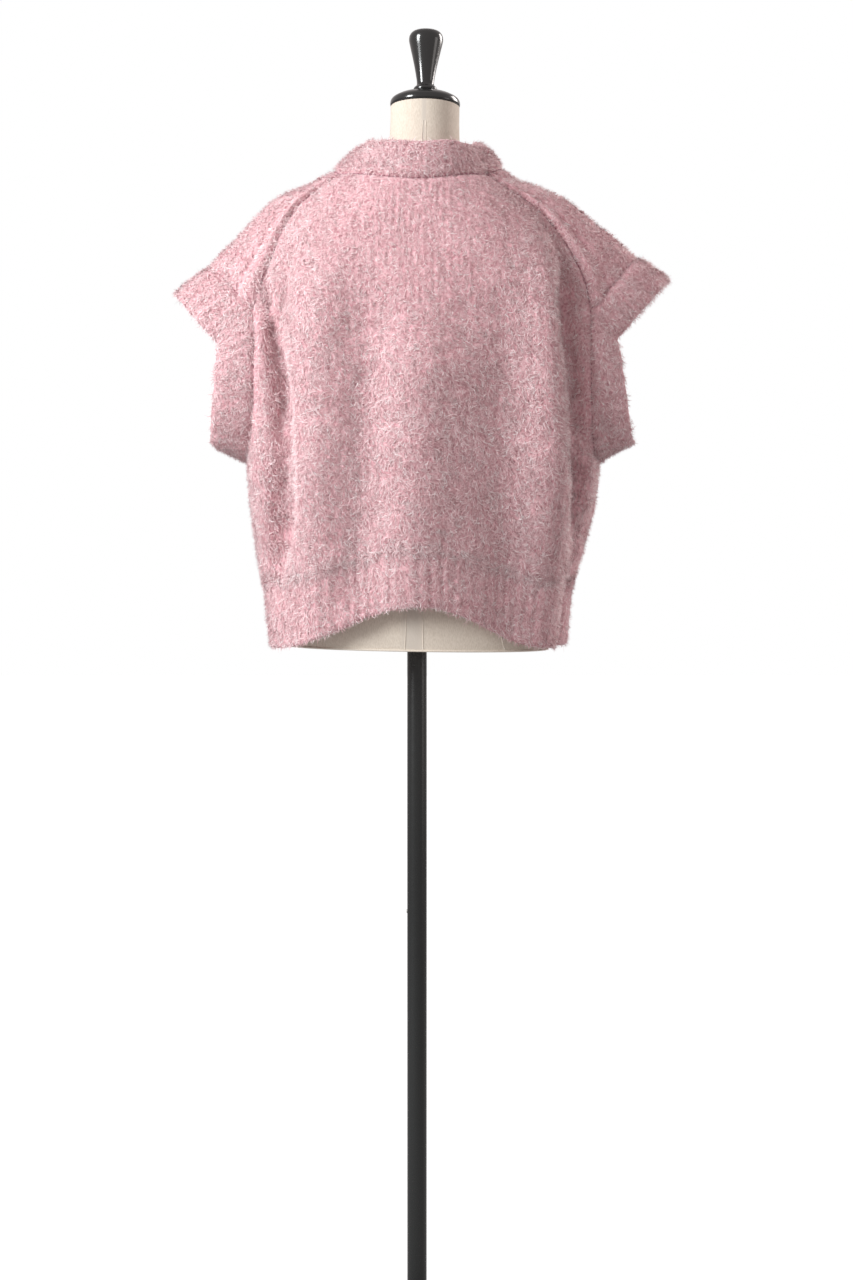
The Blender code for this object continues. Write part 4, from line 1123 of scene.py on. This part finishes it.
def add_cap(name, points, normals):
    """A shoulder cap, with its raised welts along the raglan seams."""
    place = np.abs(spline(np.array(CAP_PLACES), CUTS[name].finer[1], 0))[None, :]
    welt = near(place - WELT_PLACE, WELT_WIDTH)
    groove = near(place - GROOVE_PLACE, GROOVE_WIDTH)
    distances = edge_distances(points)
    foot = np.clip(distances["last_row"] / WELT_FOOT, 0.0, 1.0)
    relief = knit_relief(points, CUTS[name].seed, *CAP_LUMPS)
    relief += WELT_RAISE * (WELT_LEAST + WELT_MORE * foot) * welt - GROOVE_DEPTH * groove
    relief += seam_dip(distances, SIDE_EDGES, width=SIDE_SEAM_WIDTH)
    relief += seam_dip(distances, ("first_row",), CAP_FOOT_DEPTH)
    relief += seam_dip(distances, ("last_row",), CAP_NECK_DEPTH)
    crest = near(place, CAP_CREST_WIDTH)
    pile = np.ones(points.shape[:2]) - GROOVE_BARE * groove + WELT_PILE * welt + CAP_CREST_PILE * crest
    knit(name, points, normals, relief, pile, ["dress_form"])


def add_hem(name, points, normals):
    """Half of the hem's ribbed band."""
    panel = name.split("_")[2]
    points = creased(panel, points, normals, hem=True)
    distances = edge_distances(points)
    ridges, relief, _ = ribbing(name, points.shape[1])
    relief = relief + knit_relief(points, CUTS[panel + "_panel"].seed, *PANEL_LUMPS)
    relief += seam_dip(distances, SIDE_EDGES, HEM_SIDE_DEPTH)
    pile = 1.0 - RIB_PILE + RIB_PILE * ridges
    pile = pile * (1.0 + HEM_SEAM_PILE * near(distances["last_row"], HEM_SEAM_WIDTH))
    knit(name, points, normals, relief, pile, [panel + "_panel_knit"], free=("first_row",))


def add_band(name, points, normals):
    """Half of an armhole's ribbed band, sewn to its cap and its panel."""
    distances = edge_distances(points)
    ridges, relief, _ = ribbing(name, points.shape[1])
    relief = relief + knit_relief(points, CUTS[name].seed, *BAND_LUMPS)
    relief += seam_dip(distances, ("first_row",), BAND_SEAM_DEPTH)
    pile = 1.0 - RIB_PILE + RIB_PILE * ridges
    pile = pile * (1.0 + BAND_CREST_PILE * near(distances["last_column"], BAND_CREST_WIDTH))
    side, panel = name.split("_")[2:]
    carriers = ["shoulder_cap_" + side + "_knit", panel + "_panel_knit"]
    seam = (name + "_seam", points[0], normals[0])
    knit(name, points, normals, relief, pile, carriers, [seam], free=("last_row",))


def add_collar(name, points, normals):
    """The doubled collar, once round the neck."""
    ridges, relief, share = ribbing(name, points.shape[1])
    relief = relief + knit_relief(points, CUTS[name].seed, *COLLAR_LUMPS)
    relief += seam_dip(edge_distances(points, True), ("first_row",), *COLLAR_SEAM)
    pile = 1.0 - COLLAR_RIB_PILE + COLLAR_RIB_PILE * ridges
    pile = pile * np.clip(share / COLLAR_FOOT, COLLAR_FOOT_PILE, 1.0)
    args = (name, points, normals, relief, pile, ["dress_form"])
    knit(*args, free=("last_row",), closed=True, edge_width=COLLAR_EDGE_WIDTH)
    loops = (np.concatenate((row[0], row[0, :1])) for row in (points, normals))
    add_stitches(name + "_seam", *loops)


def add_stitches(name, path, normals):
    """Short arched dashes of thread, sunk in a seam."""
    lengths = np.linalg.norm(np.diff(path, axis=0), axis=1)
    along = np.concatenate(((0.0,), np.cumsum(lengths)))
    count = max(1, round(along[-1] / SEAM_STEP))
    points = []
    faces = []
    for n in range(count):
        places = (n + np.array(STITCH_PLACES)) * along[-1] / count
        spine = np.stack([np.interp(places, along, path[:, axis]) for axis in range(3)], axis=-1)
        out = unit(np.array([np.interp(places[1], along, normals[:, axis]) for axis in range(3)]))
        across = unit(np.cross(spine[2] - spine[0], out))
        first = len(points)
        last = first + (len(places) - 1) * STITCH_SIDES
        for k in range(len(places)):
            middle = spine[k] - out * (STITCH_SUNK - STITCH_ARCH[k])
            for turn in np.arange(STITCH_SIDES) * 2.0 * math.pi / STITCH_SIDES:
                around = math.cos(turn) * across + math.sin(turn) * out
                points.append(middle + around * STITCH_RADIUS * STITCH_TAPER[k])
        faces += grid_faces(len(places), STITCH_SIDES, first=first)
        faces.append(tuple(range(first, first + STITCH_SIDES))[::-1])
        faces.append(tuple(range(last, last + STITCH_SIDES)))
    carry(make_mesh(name, points, faces, THREAD))


MAKERS = {
    "back": add_panel,
    "front": add_panel,
    "shoulder": add_cap,
    "hem": add_hem,
    "armhole": add_band,
    "collar": add_collar,
}


def add_vest():
    """The two panels, the caps, the hem ribs, the armhole bands and the collar, each with its pile."""
    chest = (0.0, 0.0, CHEST_Z)
    back = relaxed(panel_grid("back", BODY_LEVELS, ACROSS))
    front = relaxed(panel_grid("front", BODY_LEVELS, ACROSS))
    caps = {side: cap_grid(back, front, side) for side, _ in SIDES}
    sheets = {
        "back_panel": back,
        "front_panel": front,
        "hem_rib_back": panel_grid("back", HEM_LEVELS, ACROSS),
        "hem_rib_front": panel_grid("front", HEM_LEVELS, ACROSS),
        "shoulder_cap_left": caps[1],
        "shoulder_cap_right": caps[-1],
    }
    grids = {name: (points, grid_normals(points, chest)) for name, points in sheets.items()}
    collar = collar_grid(back, front, caps)
    grids["collar"] = (collar, ring_normals(collar, chest))
    for side, word in SIDES:
        for panel, points in band_grids(back, front, caps[side], side).items():
            normals = grid_normals(points, (side * ARMHOLE_X, 0.0, ARMHOLE_Z))
            grids["armhole_band_" + word + "_" + panel] = (points, normals)
    share_normals(grids.values())
    for name, cut in CUTS.items():
        points, normals = (refined(grid, *cut.finer, name == "collar") for grid in grids[name])
        MAKERS[name.split("_")[0]](name, points, unit(normals))


# The dress form and its stand, as in the solids, and how far the finer form keeps back from the cloth. The
# profiles give heights and radii.
FORM_SIDES = 112
FORM_ROWS = 64
FORM_EASE = 0.0008
NECK_SHARES = (0.25, 0.5, 0.75, 1.0)
CAP_PROFILE = (
    (0.0003, 0.0), (0.0003, 0.0478), (0.0070, 0.0482),
    (0.0120, 0.0455), (0.0180, 0.0345), (0.0220, 0.0),
)
KNOB_PROFILE = (
    (0.0223, 0.0), (0.0223, 0.0150), (0.0250, 0.0165), (0.0280, 0.0158), (0.0310, 0.0112),
    (0.0420, 0.0126), (0.0580, 0.0155), (0.0740, 0.0190), (0.0890, 0.0225),
    (0.0960, 0.0238), (0.1030, 0.0226), (0.1085, 0.0170), (0.1105, 0.0),
)
HUB_PROFILE = (
    (0.0103, 0.0), (0.0103, 0.0460), (0.0150, 0.0450),
    (0.0200, 0.0270), (0.0260, 0.0225), (0.0260, 0.0),
)
SCREW_PROFILE = ((0.0, 0.0), (0.0, 0.0026), (0.0018, 0.0026), (0.0018, 0.0))
SCREW_HEIGHT = 0.6005
SCREW_SUNK = 0.0006
TURNED_SIDES = 64
SCREW_SIDES = 24
BASE_RADIUS = 0.190
BASE_THICKNESS = 0.010
CORNER_SHARES = (0.0, 0.25, 0.5, 0.75, 1.0)
FORM_CREASE = math.radians(50.0)
TURNED_CREASE = math.radians(35.0)

# The form's seams: how far each lies across from the middle at the form's bottom and at its neck
FORM_SEAMS = table(
    "name side bottom_across top_across top_level",
    ("form_seam_back_left", 1, 0.0164, 0.0030, 17.0),
    ("form_seam_back_right", 1, -0.0082, -0.0010, 17.0),
    ("form_seam_princess_left", 1, 0.1370, 0.0420, 14.0),
    ("form_seam_princess_right", 1, -0.1180, -0.0420, 14.0),
    ("form_seam_front_left", -1, 0.1050, 0.0500, 14.0),
    ("form_seam_front_right", -1, -0.1050, -0.0500, 14.0),
)
SEAM_SPOTS = 90
SEAM_SIDES = 6
SEAM_RADIUS = 0.0006
PIPING_SIDES = 8
PIPING_RADIUS = 0.0015
PIPING_RISE = 0.0004
# A tube's cross section is turned by the upright where its path is less steep than this, or else by x.
STEEP = 0.8


def lean_x(z):
    """How far the form's middle lies to the wearer's right at a height."""
    return -FORM_LEAN * (z - FORM_BOTTOM)


def form_sizes(level):
    """The form's height, half widths, middle and depth at a place in its table."""
    z, left, right, back, front, power = (
        float(column(FORM_RINGS, name, level)) for name in FORM_RINGS[0]._fields
    )
    left -= FORM_EASE
    right -= FORM_EASE
    return z, left, right, (back + front) / 2.0, (back - front) / 2.0 - FORM_EASE, power


def form_points(level, angles):
    z, left, right, middle, depth, power = form_sizes(level)
    half = np.where(np.cos(angles) > 0.0, left, right)
    x = half * np.sign(np.cos(angles)) * np.abs(np.cos(angles)) ** (2.0 / power)
    y = middle + depth * np.sign(np.sin(angles)) * np.abs(np.sin(angles)) ** (2.0 / power)
    return np.stack([x + lean_x(z), y, z + FORM_LEAN * x], axis=-1)


def form_spot(level, across, side):
    """The point of the form's surface at a distance across from its middle, at its back or front."""
    _, left, right, _, _, power = form_sizes(level)
    turn = min(abs(across) / (left if across > 0.0 else right), 1.0) ** (power / 2.0)
    return form_points(level, np.array([side * math.acos(math.copysign(turn, across))]))[0]


def seam_across(seam, level):
    return seam.bottom_across + (seam.top_across - seam.bottom_across) * level / seam.top_level


def add_tube(name, path, radius, sides, closed=False):
    """A tube of piping along a path of points."""
    path = np.array(path)
    along = np.gradient(path, axis=0)
    if closed:
        along = np.roll(path, -1, axis=0) - np.roll(path, 1, axis=0)
    along = unit(along)
    guide = np.where(np.abs(along[:, 2:]) < STEEP, np.array((0.0, 0.0, 1.0)), np.array((1.0, 0.0, 0.0)))
    first = unit(np.cross(along, guide))
    second = np.cross(along, first)
    turn = np.linspace(0.0, 2.0 * math.pi, sides, endpoint=False)[None, :, None]
    rings = path[:, None] + radius * (np.cos(turn) * first[:, None] + np.sin(turn) * second[:, None])
    faces = grid_faces(len(path), sides, looped=closed)
    if not closed:
        faces.append(tuple(range(sides))[::-1])
        faces.append(tuple((len(path) - 1) * sides + spot for spot in range(sides)))
    return make_mesh(name, rings.reshape(-1, 3), faces, PIPING)


def add_form():
    """The dress form, with its piping and seams."""
    levels = np.linspace(0.0, len(FORM_RINGS) - 1.0, FORM_ROWS)
    angles = np.linspace(0.0, 2.0 * math.pi, FORM_SIDES, endpoint=False)
    rings = [form_points(level, angles) for level in levels]
    top = rings[-1].copy()
    top[:, 0] += lean_x(NECK_TOP) - lean_x(FORM_RINGS[-1].z)
    top[:, 2] = NECK_TOP + (top[:, 1] - NECK_MIDDLE_Y) * math.tan(NECK_TILT)
    top[:, 2] += FORM_LEAN * (top[:, 0] - lean_x(NECK_TOP))
    rings.extend(rings[-1] * (1 - share) + top * share for share in NECK_SHARES)
    rows = len(rings)
    faces = [tuple(range(FORM_SIDES))[::-1], tuple((rows - 1) * FORM_SIDES + n for n in range(FORM_SIDES))]
    form = make_mesh("form_body", np.concatenate(rings), faces + grid_faces(rows, FORM_SIDES), LINEN)
    form.data.set_sharp_from_angle(angle=FORM_CREASE)
    marks = []
    for number, ring in enumerate(rings):
        level = levels[min(number, FORM_ROWS - 1)]
        left, right = (seam_across(seam, level) + lean_x(form_sizes(level)[0]) for seam in FORM_SEAMS[:2])
        marks.append((ring[:, 0] < left) & (ring[:, 0] > right) & (ring[:, 1] > 0.0))
    layer = form.data.attributes.new("strip", "FLOAT", "POINT")
    layer.data.foreach_set("value", np.concatenate(marks).astype(np.float32))
    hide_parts("dress_form")
    bottom = rings[0] + np.array((0.0, 0.0, PIPING_RISE))
    pieces = [form, add_tube("form_piping", bottom, PIPING_RADIUS, PIPING_SIDES, True)]
    for seam in FORM_SEAMS:
        spots = np.linspace(0.0, seam.top_level, SEAM_SPOTS)
        path = [form_spot(level, seam_across(seam, level), seam.side) for level in spots]
        pieces.append(add_tube(seam.name, path, SEAM_RADIUS, SEAM_SIDES))
    for piece in pieces:
        carry(piece)


def rounded(profile, cut):
    """A profile of heights and radii with its corners rounded off."""
    profile = [np.array(spot) for spot in profile]
    out = [profile[0]]
    for before, spot, after in zip(profile, profile[1:], profile[2:]):
        back = np.linalg.norm(before - spot)
        ahead = np.linalg.norm(after - spot)
        start = spot + (before - spot) * min(cut, back * 0.5) / back
        stop = spot + (after - spot) * min(cut, ahead * 0.5) / ahead
        out.extend(start * (1 - t) ** 2 + 2 * spot * t * (1 - t) + stop * t**2 for t in CORNER_SHARES)
    out.append(profile[-1])
    return out


def add_turned(name, profile, sides, material, place=(0.0, 0.0, 0.0), tilt=0.0, lean=0.0):
    """A turned piece from heights and radii along its axis, which leans forward by tilt and right by lean."""
    angles = np.linspace(0.0, 2.0 * math.pi, sides, endpoint=False)
    points = [(0.0, 0.0, profile[0][0])]
    for height, radius in profile[1:-1]:
        points.extend((radius * math.cos(a), radius * math.sin(a), height) for a in angles)
    points.append((0.0, 0.0, profile[-1][0]))
    last = len(points) - 1
    faces = grid_faces(len(profile) - 2, sides, first=1)
    for number in range(sides):
        beside = (number + 1) % sides
        faces.append((0, 1 + beside, 1 + number))
        faces.append((last - sides + number, last - sides + beside, last))
    cosine = math.cos(tilt)
    sine = math.sin(tilt)
    x, y, z = np.array(points).T
    placed = np.stack((x - lean * z, y * cosine - z * sine, y * sine + z * cosine + lean * x), axis=-1)
    piece = make_mesh(name, placed + np.array(place), faces, material)
    piece.data.set_sharp_from_angle(angle=TURNED_CREASE)
    return piece


def add_stand():
    """The neck cap, the knob, the pole with its set screw, the hub and the base plate."""
    neck = ((lean_x(NECK_TOP), NECK_MIDDLE_Y, NECK_TOP), NECK_TILT, FORM_LEAN)
    pole_bottom = HUB_PROFILE[-1][0] + CONTACT_GAP
    pole_top = FORM_BOTTOM - CONTACT_GAP - FORM_LEAN * POLE_RADIUS
    pole = ((pole_bottom, 0.0), (pole_bottom, POLE_RADIUS), (pole_top, POLE_RADIUS), (pole_top, 0.0))
    plate = ((0.0, 0.0), (0.0, BASE_RADIUS), (BASE_THICKNESS, BASE_RADIUS), (BASE_THICKNESS, 0.0))
    # Each part's name, profile, corner radius, material, slot and stance
    parts = (
        ("neck_cap", CAP_PROFILE, 0.004, GLOSS, "black_gloss", neck),
        ("neck_knob", KNOB_PROFILE, 0.009, GLOSS, "black_gloss", neck),
        ("pole", pole, 0.0006, SATIN, "black_satin", ()),
        ("base_hub", HUB_PROFILE, 0.003, SATIN, "black_satin", ()),
        ("base_plate", plate, 0.0025, SATIN, "black_satin", ()),
    )
    for name, profile, corner, material, finish, stance in parts:
        piece = add_turned(name + "_turned", rounded(profile, corner), TURNED_SIDES, material, *stance)
        carry(piece, name)
    head = add_turned("pole_screw", rounded(SCREW_PROFILE, 0.0008), SCREW_SIDES, STEEL)
    place = Matrix.Translation((POLE_RADIUS - SCREW_SUNK, 0.0, SCREW_HEIGHT))
    head.matrix_world = place @ Matrix.Rotation(math.radians(90.0), 4, "Y")
    carry(head)


FLOOR_REACH = 14.0
FLOOR_LEVEL = -0.0006
# The floor's brightness to the camera alone, so that it is as white as the backdrop
FLOOR_GLOW = 0.95


def add_floor():
    """A plain pale floor, large enough to run out of every view."""
    inputs = {"Specular IOR Level": 0.1, "Emission Color": (1.0, 1.0, 1.0, 1.0)}
    material, tree, shader = new_material("floor_white", (0.40, 0.40, 0.40), 0.9, inputs)
    seen = add_node(tree, "LightPath").outputs["Is Camera Ray"]
    glow = add_node(tree, "Math", {0: seen, 1: FLOOR_GLOW})
    glow.operation = "MULTIPLY"
    set_inputs(tree, shader, {"Emission Strength": glow.outputs["Value"]})
    mesh = bpy.data.meshes.new("floor")
    ends = ((-1, -1), (1, -1), (1, 1), (-1, 1))
    mesh.from_pydata([(x * FLOOR_REACH, y * FLOOR_REACH, FLOOR_LEVEL) for x, y in ends], [], [(0, 1, 2, 3)])
    mesh.materials.append(material)
    place_object("floor", mesh)


def add_light(name, place, size, energy, colour):
    """A soft rectangular light that looks at the vest's chest."""
    data = bpy.data.lights.new(name, "AREA")
    data.color = colour
    data.shape = "RECTANGLE"
    data.size, data.size_y = size
    data.energy = energy
    light = place_object(name, data)
    light.location = place
    light.rotation_euler = (Vector((0.0, 0.0, CHEST_Z)) - Vector(place)).to_track_quat("-Z", "Y").to_euler()


def add_studio():
    """A white backdrop, faint light all round, a soft light from the photo's left and two weaker ones."""
    scene = bpy.context.scene
    scene.view_settings.view_transform = "Standard"
    world = bpy.data.worlds.new("studio")
    scene.world = world
    world.use_nodes = True
    tree = world.node_tree
    tree.nodes.clear()
    seen = add_node(tree, "LightPath").outputs["Is Camera Ray"]
    around = add_node(tree, "Background", {"Color": (1.0, 0.93, 0.915, 1.0), "Strength": 0.56})
    backdrop = add_node(tree, "Background", {"Color": (1.0, 1.0, 1.0, 1.0)})
    shaders = {"Fac": seen, 1: around.outputs["Background"], 2: backdrop.outputs["Background"]}
    mix = add_node(tree, "MixShader", shaders)
    add_node(tree, "OutputWorld", {"Surface": mix.outputs["Shader"]})
    add_light("key", (3.0, 2.1, 2.7), size=(1.1, 1.8), energy=186.0, colour=(0.965, 0.99, 1.0))
    add_light("fill", (-3.4, 0.9, 1.6), size=(1.2, 1.8), energy=10.0, colour=(1.0, 0.95, 0.92))
    add_light("rim", (-2.8, -1.8, 2.6), size=(1.4, 1.8), energy=65.0, colour=(1.0, 0.95, 0.92))


add_vest()
add_form()
add_stand()
add_floor()
add_studio()
